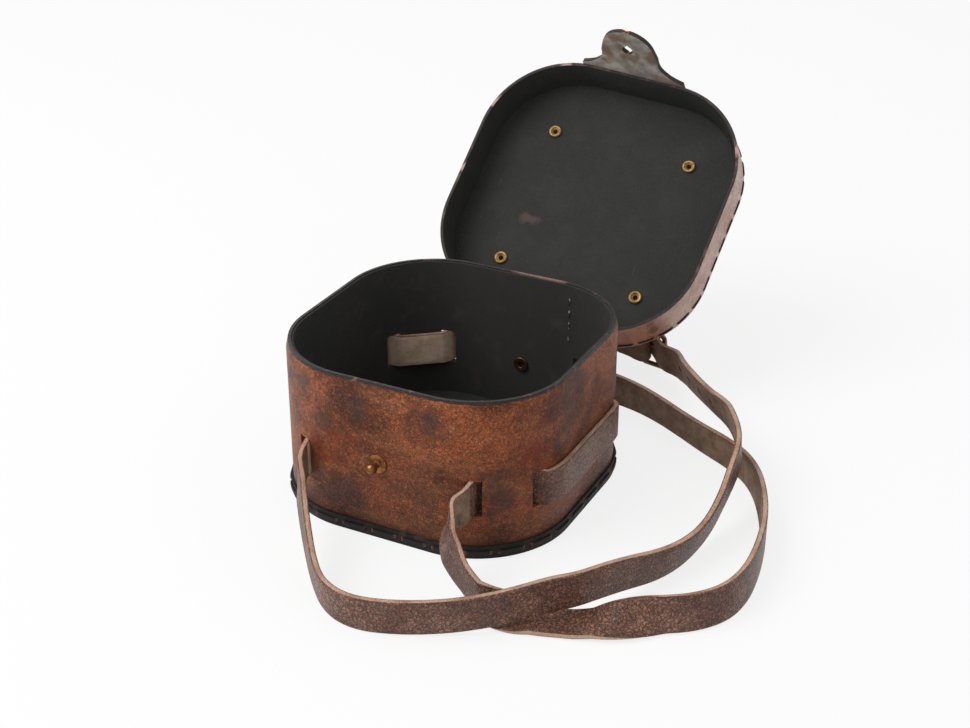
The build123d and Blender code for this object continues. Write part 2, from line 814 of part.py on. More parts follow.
# ---------- lid, closed ----------
skirt_inside = extrude(lid_outline(-skirt_leather, mouth), skirt_depth)
mouth_flare = loft(
    [
        lid_outline(mouth_pare - skirt_leather, mouth),
        lid_outline(-skirt_leather, mouth + mouth_pare_height),
    ]
)
lid_skirt = extrude(lid_outline(0, mouth), skirt_depth) - skirt_inside - mouth_flare
lid_plate = extrude(lid_outline(-skirt_leather, plate_bottom), plate_thickness)
lining_bottom = plate_bottom - lid_lining_thickness
lid_lining = extrude(lid_outline(-skirt_leather, lining_bottom), lid_lining_thickness)
lid_lacing, lid_lace_ends = running_lace(
    lid_outline,
    (lid_width, lid_depth, lid_corner),
    lid_top - lid_lace_drop,
    lid_lace_width,
    lid_lace_thickness,
    skirt_leather,
    lid_lace_count,
    lid_shift,
)
lid_skirt -= lid_lace_ends

# four tubular eyelets rolled over inside the lid, with domed caps on top of it
eyelet_rings = []
eyelet_caps = []
eyelet_shanks = []
cap_sphere = (cap_radius**2 + cap_height**2) / (2 * cap_height)
shank_radius = eyelet_bore_radius + eyelet_wire_radius
for side in (-1, 1):
    for y in (eyelet_front_y, eyelet_back_y):
        x = eyelet_offset_x + side * eyelet_half_spread
        foot = Vector(x, y, lining_bottom)
        tube = rod(shank_radius, foot, Vector(x, y, lid_top))
        eyelet_shanks.append(tube)
        roll = Pos(x, y, lining_bottom - eyelet_wire_radius) * Torus(
            eyelet_ring_radius - eyelet_wire_radius, eyelet_wire_radius
        )
        collar = rod(
            eyelet_ring_radius - eyelet_wire_radius, foot - upward * eyelet_wire_radius, foot
        )
        bore = rod(eyelet_bore_radius, foot - upward * 3, Vector(x, y, lid_top - 0.5))
        eyelet_rings.append(tube + collar + roll - bore)
        dome = Sphere(cap_sphere) - Pos(0, 0, -cap_height) * Box(
            3 * cap_sphere, 3 * cap_sphere, 2 * cap_sphere
        )
        eyelet_caps.append(Pos(x, y, lid_top + cap_height - cap_sphere) * dome)
lid_plate -= eyelet_shanks
lid_lining -= eyelet_shanks

# ---------- closure tongue: sewn root and flexing tongue ----------
root_middle_y = skirt_front - tongue_thickness / 2
tongue_base = Pos(tongue_center_x, root_middle_y, mouth + tongue_joint_gap) * Box(
    2 * tongue_root_half,
    tongue_thickness,
    tongue_base_height,
    align=(Align.CENTER, Align.CENTER, Align.MIN),
)
tongue_stitches = []
for row in (mouth + tongue_row_low, mouth + tongue_base_height - tongue_row_high):
    for column in range(tongue_stitch_columns):
        x = tongue_center_x + (column - (tongue_stitch_columns - 1) / 2) * tongue_stitch_pitch
        thread_y = skirt_front - tongue_thickness - thread_thickness / 2
        tongue_stitches.append(Pos(x, thread_y, row) * Box(leaf_stitch, thread_thickness, thread_width))

# drawn flat: X across, Y the length down from the pivot at the tongue's outer face
start = tongue_joint_gap
outline_right = [
    Line((tongue_root_half, start), (tongue_root_half, start + tongue_root_edge)),
    ThreePointArc(
        (tongue_root_half, start + tongue_root_edge),
        (tongue_shoulder_half, tongue_shoulder_length),
        (tongue_neck_half, tongue_neck_length),
    ),
    Line((tongue_neck_half, tongue_neck_length), (tongue_tip_half, tongue_tip_start)),
]
outline_left = [edge.mirror(Plane.YZ) for edge in outline_right]
tip = ThreePointArc(
    (tongue_tip_half, tongue_tip_start), (0, tongue_length), (-tongue_tip_half, tongue_tip_start)
)
root = Line((tongue_root_half, start), (-tongue_root_half, start))
tongue_plan = make_face(Curve() + outline_right + outline_left + [tip, root])
tongue_plan -= Pos(0, tongue_hole_length) * Circle(tongue_hole_radius)
tongue_pivot = Vector(tongue_center_x, skirt_front - tongue_thickness, mouth)
tongue_flat = Plane(tongue_pivot, x_dir=(1, 0, 0), z_dir=(0, 1, 0)) * extrude(
    tongue_plan, tongue_thickness
)
tongue_axis = Axis(tongue_pivot, (-1, 0, 0))
closure_tongue = tongue_flat.rotate(tongue_axis, tongue_rest_angle)

# ---------- write every node, the lid's pieces laid open ----------
save("case_wall", case_wall)
save("case_lining", case_lining)
save("base_plate", base_plate)
save("base_band", base_band)
save("base_lacing", *solids_of(base_lacing))
save("floor_lining", floor_lining)
save("wall_seam_thread", seam_thread)
save("stud", stud)
save("stud_screw", stud_screw)
save("hinge_leaf_case", hinge_leaf_case)
save("strap_rivet", strap_rivet)
save("rivet_burr", rivet_burr)
save("strap_woven", strap_woven)
save("strap_long_end", strap_long_end)
save("strap_short_end", strap_short_end)
save("buckle_frame", buckle_frame)
save("buckle_prong", buckle_prong)
save("buckle_rivet", buckle_rivet)
save("strap_keeper", strap_keeper)
save("lid_skirt", open_lid(lid_skirt))
save("lid_plate", open_lid(lid_plate))
save("lid_lining", open_lid(lid_lining))
save("lid_lacing", *[open_lid(solid) for solid in solids_of(lid_lacing)])
save("lid_eyelets", *[open_lid(piece) for piece in eyelet_rings])
save("lid_caps", *[open_lid(piece) for piece in eyelet_caps])
save("hinge_leaf_lid", open_lid(hinge_leaf_lid))
save("hinge_stitches", *[open_lid(piece) for piece in hinge_stitches])
save("tongue_base", open_lid(tongue_base))
save("tongue_stitches", *[open_lid(piece) for piece in tongue_stitches])
save("closure_tongue", open_lid(closure_tongue))
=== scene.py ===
import json
from functools import partial
from math import cos, pi, radians, sin, sqrt, tan

import bmesh
import bpy
import numpy as np
from mathutils import Matrix, Vector, noise

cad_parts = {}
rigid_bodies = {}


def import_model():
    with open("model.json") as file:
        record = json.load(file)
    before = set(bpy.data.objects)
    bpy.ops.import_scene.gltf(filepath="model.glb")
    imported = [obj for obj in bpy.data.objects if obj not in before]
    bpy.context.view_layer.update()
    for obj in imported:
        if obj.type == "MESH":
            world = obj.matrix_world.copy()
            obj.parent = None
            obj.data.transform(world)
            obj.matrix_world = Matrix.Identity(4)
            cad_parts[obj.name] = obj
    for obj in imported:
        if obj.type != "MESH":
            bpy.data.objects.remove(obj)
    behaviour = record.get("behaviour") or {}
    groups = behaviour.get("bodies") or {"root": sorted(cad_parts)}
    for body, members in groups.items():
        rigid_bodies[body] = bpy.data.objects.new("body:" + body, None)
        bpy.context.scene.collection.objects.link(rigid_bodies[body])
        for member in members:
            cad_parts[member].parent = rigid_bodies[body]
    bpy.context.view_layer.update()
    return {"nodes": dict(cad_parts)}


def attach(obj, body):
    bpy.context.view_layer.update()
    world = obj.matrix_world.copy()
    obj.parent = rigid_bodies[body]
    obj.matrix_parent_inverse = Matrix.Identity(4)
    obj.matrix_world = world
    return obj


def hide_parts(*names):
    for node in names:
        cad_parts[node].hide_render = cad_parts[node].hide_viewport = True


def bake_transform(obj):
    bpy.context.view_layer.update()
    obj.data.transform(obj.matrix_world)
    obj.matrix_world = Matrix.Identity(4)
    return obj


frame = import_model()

# A round-cornered leather case, its lid laid back open, with a long strap woven through its
# wall and a tongue that buttons on a brass stud. Metres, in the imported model's own frame.
nodes = frame["nodes"]
MM = 0.001

# ---------- camera ----------
# It stands in front of the case and to its right, and looks down into the open box. Its place,
# axes and lens were solved from the outlines of the rim, the foot and the lid.


def linked(name, data):
    """A new object, in the scene."""
    thing = bpy.data.objects.new(name, data)
    bpy.context.scene.collection.objects.link(thing)
    return thing


camera = linked("camera", bpy.data.cameras.new("camera"))
camera.data.sensor_width = 36.0
camera.data.lens = 62.57
camera.data.clip_start = 0.01
camera_place = (0.3058, -0.5690, 0.3875)
camera_axes = ((0.8904, 0.4552, 0.0), (-0.2094, 0.4096, 0.8880), (0.4042, -0.7906, 0.4600))
turned = Matrix(camera_axes).transposed().to_4x4()
camera.matrix_world = Matrix.Translation(camera_place) @ turned
bpy.context.scene.camera = camera
bpy.context.scene.view_settings.view_transform = "Standard"

# ---------- floor and light ----------
# A white table that runs out of sight, under a soft sky and one broad lamp from the left. What
# the camera and reflections see of them is plain white.


def feed(inputs, values):
    """Links each input to the socket given for it, or sets it to the value."""
    for key, value in values.items():
        if isinstance(value, bpy.types.NodeSocket):
            value.id_data.links.new(value, inputs[key])
        else:
            inputs[key].default_value = value


def tree_of(values):
    """The node tree that the sockets among these values belong to."""
    return next(v.id_data for v in values if isinstance(v, bpy.types.NodeSocket))


def add(kind, inputs=None, tree=None, **settings):
    """A node with its settings, and its inputs set or linked, in the tree of its inputs."""
    inputs = inputs or {}
    node = (tree or tree_of(inputs.values())).nodes.new(kind)
    for key, value in settings.items():
        setattr(node, key, value)
    feed(node.inputs, inputs)
    return node


def out(kind, inputs=None, tree=None, **settings):
    """The first output of such a node."""
    return add(kind, inputs, tree, **settings).outputs[0]


def math(operation, first, second=0.0):
    """One sum, and its result."""
    return out("ShaderNodeMath", {0: first, 1: second}, operation=operation)


times, plus, minus = (partial(math, name) for name in ("MULTIPLY", "ADD", "SUBTRACT"))


def seen_directly(tree):
    """1 where the camera, a mirror or a glass ray looks, 0 for light that falls on things."""
    path = add("ShaderNodeLightPath", tree=tree).outputs
    shiny = math("MAXIMUM", path["Is Glossy Ray"], path["Is Transmission Ray"])
    return math("MAXIMUM", path["Is Camera Ray"], shiny)


def opened(owner):
    """The empty node tree of a material or world."""
    owner.use_nodes = True
    owner.node_tree.nodes.clear()
    return owner.node_tree


sky_strength = 0.62
sky = bpy.data.worlds.new("studio")
bpy.context.scene.world = sky
tree = opened(sky)
dim = times(minus(1.0, seen_directly(tree)), 1.0 - sky_strength)
white = out("ShaderNodeBackground", {"Color": (1, 1, 1, 1), "Strength": minus(1.0, dim)})
add("ShaderNodeOutputWorld", {0: white})

lamp = linked("lamp", bpy.data.lights.new("lamp", "AREA"))
lamp.data.shape = "DISK"
lamp.data.size = 1.3
lamp.data.energy = 17.0
lamp_place = Vector((-0.85, -0.75, 1.35))
lamp_aim = lamp_place.to_track_quat("Z", "Y").to_matrix().to_4x4()
lamp.matrix_world = Matrix.Translation(lamp_place) @ lamp_aim

table_half = 4.0
table_mesh = bpy.data.meshes.new("table")
corners = [(x * table_half, y * table_half, 0) for x, y in ((-1, -1), (1, -1), (1, 1), (-1, 1))]
table_mesh.from_pydata(corners, [], [(0, 1, 2, 3)])
table = linked("table", table_mesh)
paper = bpy.data.materials.new("paper")
tree = opened(paper)
matt = out("ShaderNodeBsdfDiffuse", {"Color": (0.93, 0.93, 0.93, 1)}, tree=tree)
glow = out("ShaderNodeEmission", {"Color": (1, 1, 1, 1), "Strength": 1.0}, tree=tree)
both = out("ShaderNodeMixShader", {0: times(seen_directly(tree), 0.8), 1: matt, 2: glow})
add("ShaderNodeOutputMaterial", {0: both})
table_mesh.materials.append(paper)

# ---------- base plate, band and floor lining ----------
# The bottom is a disc of black hide, with a narrow black strip round the foot of the wall and
# a soft black lining glued to the floor inside.


def tone(red, green, blue):
    """A colour as a swatch shows it, from 0 to 255, made linear."""
    shares = [value / 255 for value in (red, green, blue)]
    return (*[s / 12.92 if s <= 0.04045 else ((s + 0.055) / 1.055) ** 2.4 for s in shares], 1.0)


def mix(factor, first, second):
    """Two colours mixed. Each is a socket, or a swatch's red, green and blue from 0 to 255."""
    first, second = [tone(*c) if isinstance(c, tuple) else c for c in (first, second)]
    inputs = {0: factor, 6: first, 7: second}
    return add("ShaderNodeMix", inputs, data_type="RGBA", clamp_factor=True).outputs[2]


def rise(value, low, high):
    """0 below low and 1 above high, with a soft slope between. A low above high falls."""
    falls = low > high
    inputs = {0: value, 1: min(low, high), 2: max(low, high), 3: float(falls), 4: 1.0 - falls}
    return out("ShaderNodeMapRange", inputs, interpolation_type="SMOOTHSTEP")


def cloud(vector, scale, detail=3.0, rough=0.5, bend=0.0):
    """Soft noise, from 0 to 1."""
    inputs = {"Vector": vector, "Scale": scale, "Detail": detail, "Roughness": rough}
    return out("ShaderNodeTexNoise", {**inputs, "Distortion": bend})


def hazy(vector, scale, share, base):
    """A value that wavers a little with soft noise."""
    return plus(times(cloud(vector, scale), share), base)


def cells(vector, scale):
    """How far the nearest edge between cells is."""
    inputs = {"Vector": vector, "Scale": scale}
    return out("ShaderNodeTexVoronoi", inputs, feature="DISTANCE_TO_EDGE")


def vectors(operation, first, second, key=1):
    """One sum of vectors, and its result."""
    inputs = {0: first, key: second}
    return out("ShaderNodeVectorMath", inputs, operation=operation)


def split(vector):
    """The three parts of a vector."""
    return add("ShaderNodeSeparateXYZ", {0: vector}).outputs


def turned_to(vector, place=(0, 0, 0), turn=(0, 0, 0), scale=(1, 1, 1)):
    """A vector put through a Mapping node."""
    inputs = {"Vector": vector, "Location": place, "Rotation": turn, "Scale": scale}
    return out("ShaderNodeMapping", inputs)


def sockets(tree, inputs):
    """Named inputs of a node group, each of the kind of its first value."""
    kinds = {int: "Int", float: "Float", tuple: "Vector", type(None): "Material"}
    for label, value in inputs.items():
        kind = "NodeSocket" + kinds[type(value)]
        socket = tree.interface.new_socket(label, in_out="INPUT", socket_type=kind)
        if value is not None:
            socket.default_value = value


def effect(name, inputs, outputs):
    """A shader node group with named inputs and outputs."""
    tree = bpy.data.node_groups.new(name, "ShaderNodeTree")
    sockets(tree, {"Vector": (0, 0, 0), **inputs})
    for label in outputs:
        tree.interface.new_socket(label, in_out="OUTPUT", socket_type="NodeSocketFloat")
    return tree, add("NodeGroupInput", tree=tree).outputs, add("NodeGroupOutput", tree=tree).inputs


def placed(group, inputs):
    """A node group placed in a material, and its outputs."""
    return add("ShaderNodeGroup", inputs, node_tree=group).outputs


# Pebbled hide: rounded pebbles, finer pits between them and long wandering creases.
grain_sizes = {"Pebbles": 1000.0, "Creases": 150.0, "Cracked": 1.0}
grain, given, result = effect("hide_grain", grain_sizes, ("Height", "Crease", "Pebble"))
wander = {"Vector": given["Vector"], "Scale": 260.0, "Detail": 2.0}
centred = add("ShaderNodeTexNoise", wander).outputs[1]
centred = vectors("SUBTRACT", centred, (0.5, 0.5, 0.5))
strayed = vectors("ADD", given["Vector"], vectors("SCALE", centred, 0.004, "Scale"))
pebble = rise(cells(strayed, given["Pebbles"]), 0.0, 0.22)
patchy = rise(cloud(given["Vector"], 55.0, 2.0), 0.42, 0.6)
crack = times(rise(cells(strayed, given["Creases"]), 0.06, 0.0), patchy)
crack = times(crack, given["Cracked"])
height = plus(times(pebble, 0.55), times(cloud(given["Vector"], 2600.0, 2.0), 0.35))
height = minus(height, times(crack, 0.7))
feed(result, {"Height": height, "Crease": crack, "Pebble": pebble})


def start_material(name, source="Object"):
    """A Principled material, its shader and the coordinates that its patterns read."""
    material = bpy.data.materials.new(name)
    tree = opened(material)
    shader = add("ShaderNodeBsdfPrincipled", tree=tree)
    add("ShaderNodeOutputMaterial", {0: shader.outputs[0]})
    return material, shader, add("ShaderNodeTexCoord", tree=tree).outputs[source]


def finish(shader, colour, rough, height, depth, gloss=0.2):
    """Joins colour, roughness and relief to the shader. The gloss is the same all over."""
    relief = {"Height": height, "Strength": 0.7, "Distance": depth}
    look = {"Base Color": colour, "Roughness": rough, "Specular IOR Level": gloss}
    feed(shader.inputs, {**look, "Normal": out("ShaderNodeBump", relief)})


def black_hide(name, body, worn, pebbles=900.0, rough=0.62, depth=0.0002, gloss=0.2, cracked=0.6,
    source="Object"):
    """Dyed black hide, rubbed brown or grey where worn, with painted shade in its creases."""
    material, shader, where = start_material(name, source)
    sizes = {"Vector": where, "Pebbles": pebbles, "Creases": 240.0, "Cracked": cracked}
    skin = placed(grain, sizes)
    rubbed = rise(cloud(where, 90.0, 5.0, 0.65), 0.52, 0.74)
    colour = mix(times(rubbed, 0.7), body, worn)
    # Painted shade: the creases are darkened.
    colour = mix(times(skin["Crease"], 0.5), colour, (16, 14, 13))
    finish(shader, colour, hazy(where, 400.0, 0.2, rough - 0.1), skin["Height"], depth, gloss)
    return material


def dressed(node, body, slot, *materials, ease, pick=None):
    """A merged copy of a CAD node with its hard edges eased, which stands for it."""
    mesh = nodes[node].data.copy()
    mesh.materials.clear()
    work = bmesh.new()
    work.from_mesh(mesh)
    bmesh.ops.remove_doubles(work, verts=work.verts, dist=0.000002)
    bmesh.ops.dissolve_limit(work, angle_limit=radians(0.6), verts=work.verts, edges=work.edges)
    for face in work.faces:
        face.smooth = True
        face.material_index = pick(face.calc_center_median(), face.normal) if pick else 0
    work.to_mesh(mesh)
    work.free()
    if "custom_normal" in mesh.attributes:
        mesh.attributes.remove(mesh.attributes["custom_normal"])
    mesh.name = node + "_made"
    return joined(mesh, body, slot, *materials, ease=ease, stands_for=(node,))


def eased(piece, width, angle):
    """Rounds the edges that are sharper than an angle."""
    soft = piece.modifiers.new("eased", "BEVEL")
    soft.width, soft.segments = width, 2
    soft.limit_method, soft.angle_limit = "ANGLE", radians(angle)


def joined(mesh, body, slot, *materials, ease=0.0, stands_for=()):
    """A finished mesh as a piece of the object, riding on its body under its own name."""
    for material in materials:
        mesh.materials.append(material)
    mesh.set_sharp_from_angle(angle=radians(38))
    piece = linked(mesh.name, mesh)
    if ease:
        eased(piece, ease, 40)
    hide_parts(*stands_for)
    if body:
        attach(piece, body)
    return piece


black_worn = black_hide("black_hide", (36, 31, 31), (88, 66, 58))
lining_black = black_hide("black_skiver", (58, 57, 56), (70, 68, 66), 1100.0, 0.8, 0.00025, 0.15,
    0.0)
dressed("base_plate", "case", "black_lace", black_worn, ease=0.0004)
dressed("base_band", "case", "black_lace", black_worn, ease=0.0003)
dressed("floor_lining", "case", "black_lining", lining_black, ease=0.0002)

# ---------- lace round the base ----------
# Flat waxed black lace in a running stitch holds the band to the foot of the wall. Each run
# dips into the leather at both ends, and is patchily brown close to them.


def rule_tree(name, inputs):
    """A Geometry Nodes tree with named inputs, open for its nodes."""
    tree = bpy.data.node_groups.new(name, "GeometryNodeTree")
    for way in ("INPUT", "OUTPUT"):
        tree.interface.new_socket("Geometry", in_out=way, socket_type="NodeSocketGeometry")
    sockets(tree, {**inputs, "Material": None})
    return tree, add("NodeGroupInput", tree=tree).outputs


def close_tree(geometry, material):
    """Realized, smooth, in its material, and out."""
    real = out("GeometryNodeRealizeInstances", {0: geometry})
    smooth = out("GeometryNodeSetShadeSmooth", {0: real})
    painted = {"Geometry": smooth, "Material": material}
    add("NodeGroupOutput", {0: out("GeometryNodeSetMaterial", painted)})


def as_mesh(thing):
    """The plain mesh of an object as its modifiers leave it. The object itself goes."""
    graph = bpy.context.evaluated_depsgraph_get()
    mesh = bpy.data.meshes.new_from_object(thing.evaluated_get(graph), depsgraph=graph)
    name, source = thing.name, thing.data
    bpy.data.objects.remove(thing)
    bpy.data.batch_remove([source])
    mesh.name = name
    return mesh


def mesh_of(work, mesh):
    """Ends the work on a mesh, given itself or by its name, with its faces turned outward."""
    if isinstance(mesh, str):
        mesh = bpy.data.meshes.new(mesh)
    bmesh.ops.recalc_face_normals(work, faces=work.faces)
    work.to_mesh(mesh)
    work.free()
    return mesh


def cleaned(mesh, merge=0.000001):
    """The same mesh with its doubled points merged and its faces turned outward."""
    work = bmesh.new()
    work.from_mesh(mesh)
    if merge:
        bmesh.ops.remove_doubles(work, verts=work.verts, dist=merge)
    return mesh_of(work, mesh)


def baked(name, rule, values, chain=(), place=Matrix()):
    """Runs a tree on a chain of points, and keeps the plain mesh that it makes."""
    line = bpy.data.meshes.new(name + "_line")
    line.from_pydata([tuple(p) for p in chain], [(i, i + 1) for i in range(len(chain) - 1)], [])
    base = linked(name, line)
    modifier = base.modifiers.new("rule", "NODES")
    modifier.node_group = rule
    for item in rule.interface.items_tree:
        if item.item_type == "SOCKET" and item.in_out == "INPUT" and item.name in values:
            modifier[item.identifier] = values[item.name]
    mesh = cleaned(as_mesh(base))
    mesh.transform(place)
    return mesh


lace_sizes = {"Runs": 31, "Gap": 0.002, "Width": 0.0018, "Thickness": 0.0007}
lace_rule, given = rule_tree("running_lace", {**lace_sizes, "Dip": 0.0012})
path = out("GeometryNodeMeshToCurve", {0: given["Geometry"]})
repeat = {"Geometry": path, "Amount": given["Runs"]}
copies = add("GeometryNodeDuplicateElements", repeat, domain="SPLINE").outputs
run = math("DIVIDE", out("GeometryNodeSplineLength", tree=lace_rule), given["Runs"])
half_gap = times(given["Gap"], 0.5)
begin = times(copies[1], run)
span = {0: copies[0], 4: plus(begin, half_gap), 5: minus(plus(begin, run), half_gap)}
cut = out("GeometryNodeTrimCurve", span, mode="LENGTH")
even = out("GeometryNodeResampleCurve", {"Curve": cut, "Count": 15})
from_middle = minus(out("GeometryNodeSplineParameter", tree=lace_rule), 0.5)
from_middle = math("ABSOLUTE", from_middle)
sink = times(rise(from_middle, 0.40, 0.5), given["Dip"])
inward = vectors("CROSS_PRODUCT", (0, 0, 1), out("GeometryNodeInputTangent", tree=lace_rule))
sunk = {"Geometry": even, "Offset": vectors("SCALE", inward, sink, "Scale")}
dipped = out("GeometryNodeSetPosition", sunk)
marked = {"Geometry": dipped, "Name": "near_end", "Value": rise(from_middle, 0.36, 0.46)}
kind = "GeometryNodeStoreNamedAttribute"
ended = out(kind, marked, data_type="FLOAT", domain="POINT")
upright = out("GeometryNodeSetCurveNormal", {0: ended}, mode="Z_UP")
sides = {"Width": given["Thickness"], "Height": given["Width"]}
flat = out("GeometryNodeCurvePrimitiveQuadrilateral", sides)
fillet = {"Curve": flat, "Count": 3, "Radius": 0.00022}
rounded = out("GeometryNodeFilletCurve", fillet, mode="POLY")
solid = {"Curve": upright, "Profile Curve": rounded, "Fill Caps": True}
close_tree(out("GeometryNodeCurveToMesh", solid), given["Material"])


def round_outline(width, depth, corner, shift, height, runs):
    """Points round a rounded rectangle, from half a run past its front middle, in metres."""
    flat_x, flat_y = width / 2 - corner, depth / 2 - corner
    length = 4 * (flat_x + flat_y) + 2 * pi * corner
    points = []
    for number in range(241):
        left = (length * (0.5 / runs + number / 240)) % length
        foot, heading = Vector((0, -flat_y, 0)), -pi / 2
        for straight in (flat_x, 2 * flat_y, 2 * flat_x, 2 * flat_y, flat_x):
            step = min(left, straight)
            foot += Vector((-sin(heading), cos(heading), 0)) * step
            left -= step
            turn = min(left, corner * pi / 2)
            heading += turn / corner
            left -= turn
        point = foot + Vector((cos(heading), sin(heading), 0)) * corner
        points.append(point + Vector((0, shift, height)))
    return points


waxed_lace, shader, where = start_material("waxed_lace")
skin = placed(grain, {"Vector": where, "Pebbles": 1800.0, "Creases": 500.0})
near_end = add("ShaderNodeAttribute", attribute_name="near_end", tree=where.id_data).outputs["Fac"]
# Brown patches near the ends of each run, where it dips into its holes.
rubbed = times(rise(cloud(where, 210.0), 0.4, 0.56), near_end)
colour = mix(rubbed, (36, 31, 31), (150, 104, 84))
finish(shader, colour, hazy(where, 400.0, 0.2, 0.42), skin["Height"], 0.00012)
wall_width, wall_depth, wall_corner = 0.127, 0.125, 0.0415
band, lace_thick = 0.001, lace_sizes["Thickness"]
proud = band + lace_thick / 2
wide, deep = wall_width + 2 * proud, wall_depth + 2 * proud
foot_line = round_outline(wide, deep, wall_corner + proud, 0.0, 0.003, lace_sizes["Runs"])
base_lace = baked("base_lace", lace_rule, {**lace_sizes, "Material": waxed_lace}, foot_line)
joined(base_lace, "case", "black_lace", stands_for=("base_lacing",))

# ---------- wall of the case ----------
# One long strip of thick hide, bent round and sewn behind. Its face is dyed orange brown and
# mottled by hand, and its top edge is pared thin and painted black.
spot_sizes = {"Centre": (0, 0, 0), "Size": (0.01, 0.01, 0.01), "Ragged": 1.0}
spot, given, result = effect("dye_spot", spot_sizes, ("Mask",))
away = vectors("SUBTRACT", given["Vector"], given["Centre"])
away = vectors("DIVIDE", away, given["Size"])
far = add("ShaderNodeVectorMath", {0: away}, operation="LENGTH").outputs[1]
ragged = minus(cloud(given["Vector"], 170.0, 5.0, 0.6), 0.5)
far = plus(far, times(ragged, times(given["Ragged"], 3.0)))
feed(result, {"Mask": rise(far, 1.1, 0.35)})


def spots(where, colour, share, dye, places):
    """Dye laid over a colour in ragged spots: centre and size of each, in millimetres."""
    for centre, size in places:
        inputs = {"Vector": where, "Centre": [c * MM for c in centre]}
        inputs["Size"] = [s * MM for s in size]
        mask = placed(spot, inputs)["Mask"]
        colour = mix(times(mask, share), colour, dye)
    return colour


def dyed_hide(where):
    """Orange-brown hide, mottled dark and streaked light."""
    skin = placed(grain, {"Vector": where, "Pebbles": 800.0, "Creases": 420.0})
    tilted = turned_to(where, turn=(0, radians(32), 0), scale=(0.6, 1, 2.0))
    clouds = rise(cloud(where, 38.0, 5.0, 0.62, 0.4), 0.34, 0.6)
    streaks = rise(cloud(tilted, 60.0, 5.0, 0.65, 0.3), 0.47, 0.68)
    colour = mix(clouds, (88, 40, 20), (166, 88, 48))
    colour = mix(times(streaks, 0.5), colour, (190, 118, 76))
    murk = rise(cloud(turned_to(where, place=(3, 1, 2)), 30.0, 6.0, 0.66), 0.5, 0.66)
    colour = mix(times(murk, 0.62), colour, (66, 40, 30))
    slanted = turned_to(where, turn=(0, radians(-35), 0), scale=(1, 1, 1.25))
    wrinkle = cloud(slanted, 560.0, 3.0, 0.6, 0.8)
    folds = math("ABSOLUTE", minus(wrinkle, 0.5))
    fine = rise(folds, 0.055, 0.0)
    # Painted shade in the fine wrinkles, and a painted highlight on the hide between them.
    colour = mix(times(fine, 0.6), colour, (46, 23, 15))
    colour = mix(times(rise(folds, 0.06, 0.16), 0.26), colour, (214, 124, 74))
    # Painted shade in the pits between the pebbles and in the creases.
    colour = mix(times(minus(1.0, skin["Pebble"]), 0.3), colour, (56, 30, 20))
    colour = mix(times(skin["Crease"], 0.5), colour, (48, 26, 18))
    return minus(skin["Height"], times(fine, 1.3)), colour


case_hide, shader, where = start_material("case_hide")
relief, colour = dyed_hide(where)
up = split(where)
colour = mix(times(rise(up[2], 0.022, 0.004), 0.55), colour, (58, 38, 30))
colour = spots(where, colour, 0.62, (62, 46, 42),
    (((-20.8, -62.5, 19.0), (11, 9, 9)), ((-39.4, -58.7, 62.5), (7, 6, 7)),
    ((-30.0, -62.0, 48.5), (7, 6, 5)), ((-12.0, -62.5, 59.0), (6, 6, 6)),
    ((23.0, -62.5, 59.0), (6, 6, 9)), ((48.6, -52.8, 30.0), (10, 8, 12)),
    ((-58.0, -30.0, 22.0), (12, 14, 14)), ((-62.0, 10.0, 52.0), (12, 16, 10)),
    ((50.0, 50.0, 50.0), (16, 12, 14))))
colour = spots(where, colour, 0.6, (124, 46, 24),
    (((-31.0, -61.5, 37.0), (6, 6, 8)), ((-16.0, -62.5, 44.0), (9, 6, 4)),
    ((58, -40, 47), (7, 9, 8))))
painted = rise(hazy(where, 240.0, 0.0014, up[2]), 0.0712, 0.0717)
chipped = rise(cloud(where, 130.0, 5.0, 0.7), 0.57, 0.66)
colour = mix(painted, colour, mix(chipped, (46, 41, 40), (120, 92, 80)))
worn_rim = spots(where, colour, 0.8, (168, 130, 120), (((12, 61, 72), (16, 3, 1.6)),))
finish(shader, worn_rim, hazy(where, 60.0, 0.3, 0.26), relief, 0.0003, 0.24)
sheen = {"Sheen Weight": 0.06, "Sheen Roughness": 0.35, "Sheen Tint": (1.0, 0.94, 0.9, 1.0)}
feed(shader.inputs, sheen)
dressed("case_wall", "case", "case_leather", case_hide, ease=0.00025)

# ---------- lining of the wall ----------
# A thin black skiver is glued to the inside of the wall, with its top edge just below the rim.
# The strap's slots go through the wall and the lining alike.
dressed("case_lining", "case", "black_lining", lining_black, ease=0.0002)

# ---------- seam thread ----------
# Waxed linen closes the ends of the wall behind, in a running stitch that shows as pale
# stitches inside.
stitches = {"Columns": 9, "Rows": 2, "Pitch": 0.005, "Spacing": 0.009, "Length": 0.0032}
stitches = {**stitches, "Width": 0.0009, "Height": 0.0005, "Seed": 3}
stitch_rule, given = rule_tree("stitch_rows", stitches)


def grid_of(given):
    """Points in columns and rows, about a middle."""
    grid = {"Vertices X": given["Columns"], "Vertices Y": given["Rows"]}
    grid["Size X"] = times(minus(given["Columns"], 1.0), given["Pitch"])
    grid["Size Y"] = times(minus(given["Rows"], 1.0), given["Spacing"])
    return out("GeometryNodeMeshGrid", grid)


rod = {"Vertices": 10, "Side Segments": 8, "Fill Segments": 1, "Radius": 0.5, "Depth": 1.0}
parts = split(out("GeometryNodeInputPosition", tree=stitch_rule))
end = math("POWER", math("ABSOLUTE", times(parts[2], 2.0)), 4.0)
slim = minus(1.0, times(end, 0.45))
wide = times(times(parts[1], slim), given["Width"])
high = minus(times(times(parts[0], 2.0), given["Height"]), times(end, given["Height"]))
laid = {0: times(parts[2], given["Length"]), 1: wide, 2: high}
laid = out("ShaderNodeCombineXYZ", laid)
shaped = {"Geometry": out("GeometryNodeMeshCylinder", rod, tree=stitch_rule), "Position": laid}
shaped = out("GeometryNodeSetPosition", shaped)
askew = {0: (0.0, 0.0, -0.06), 1: (0.0, 0.0, 0.06), "Seed": given["Seed"]}
askew = out("FunctionNodeRandomValue", askew, data_type="FLOAT_VECTOR")
sewn = {"Points": grid_of(given), "Instance": shaped, "Rotation": askew}
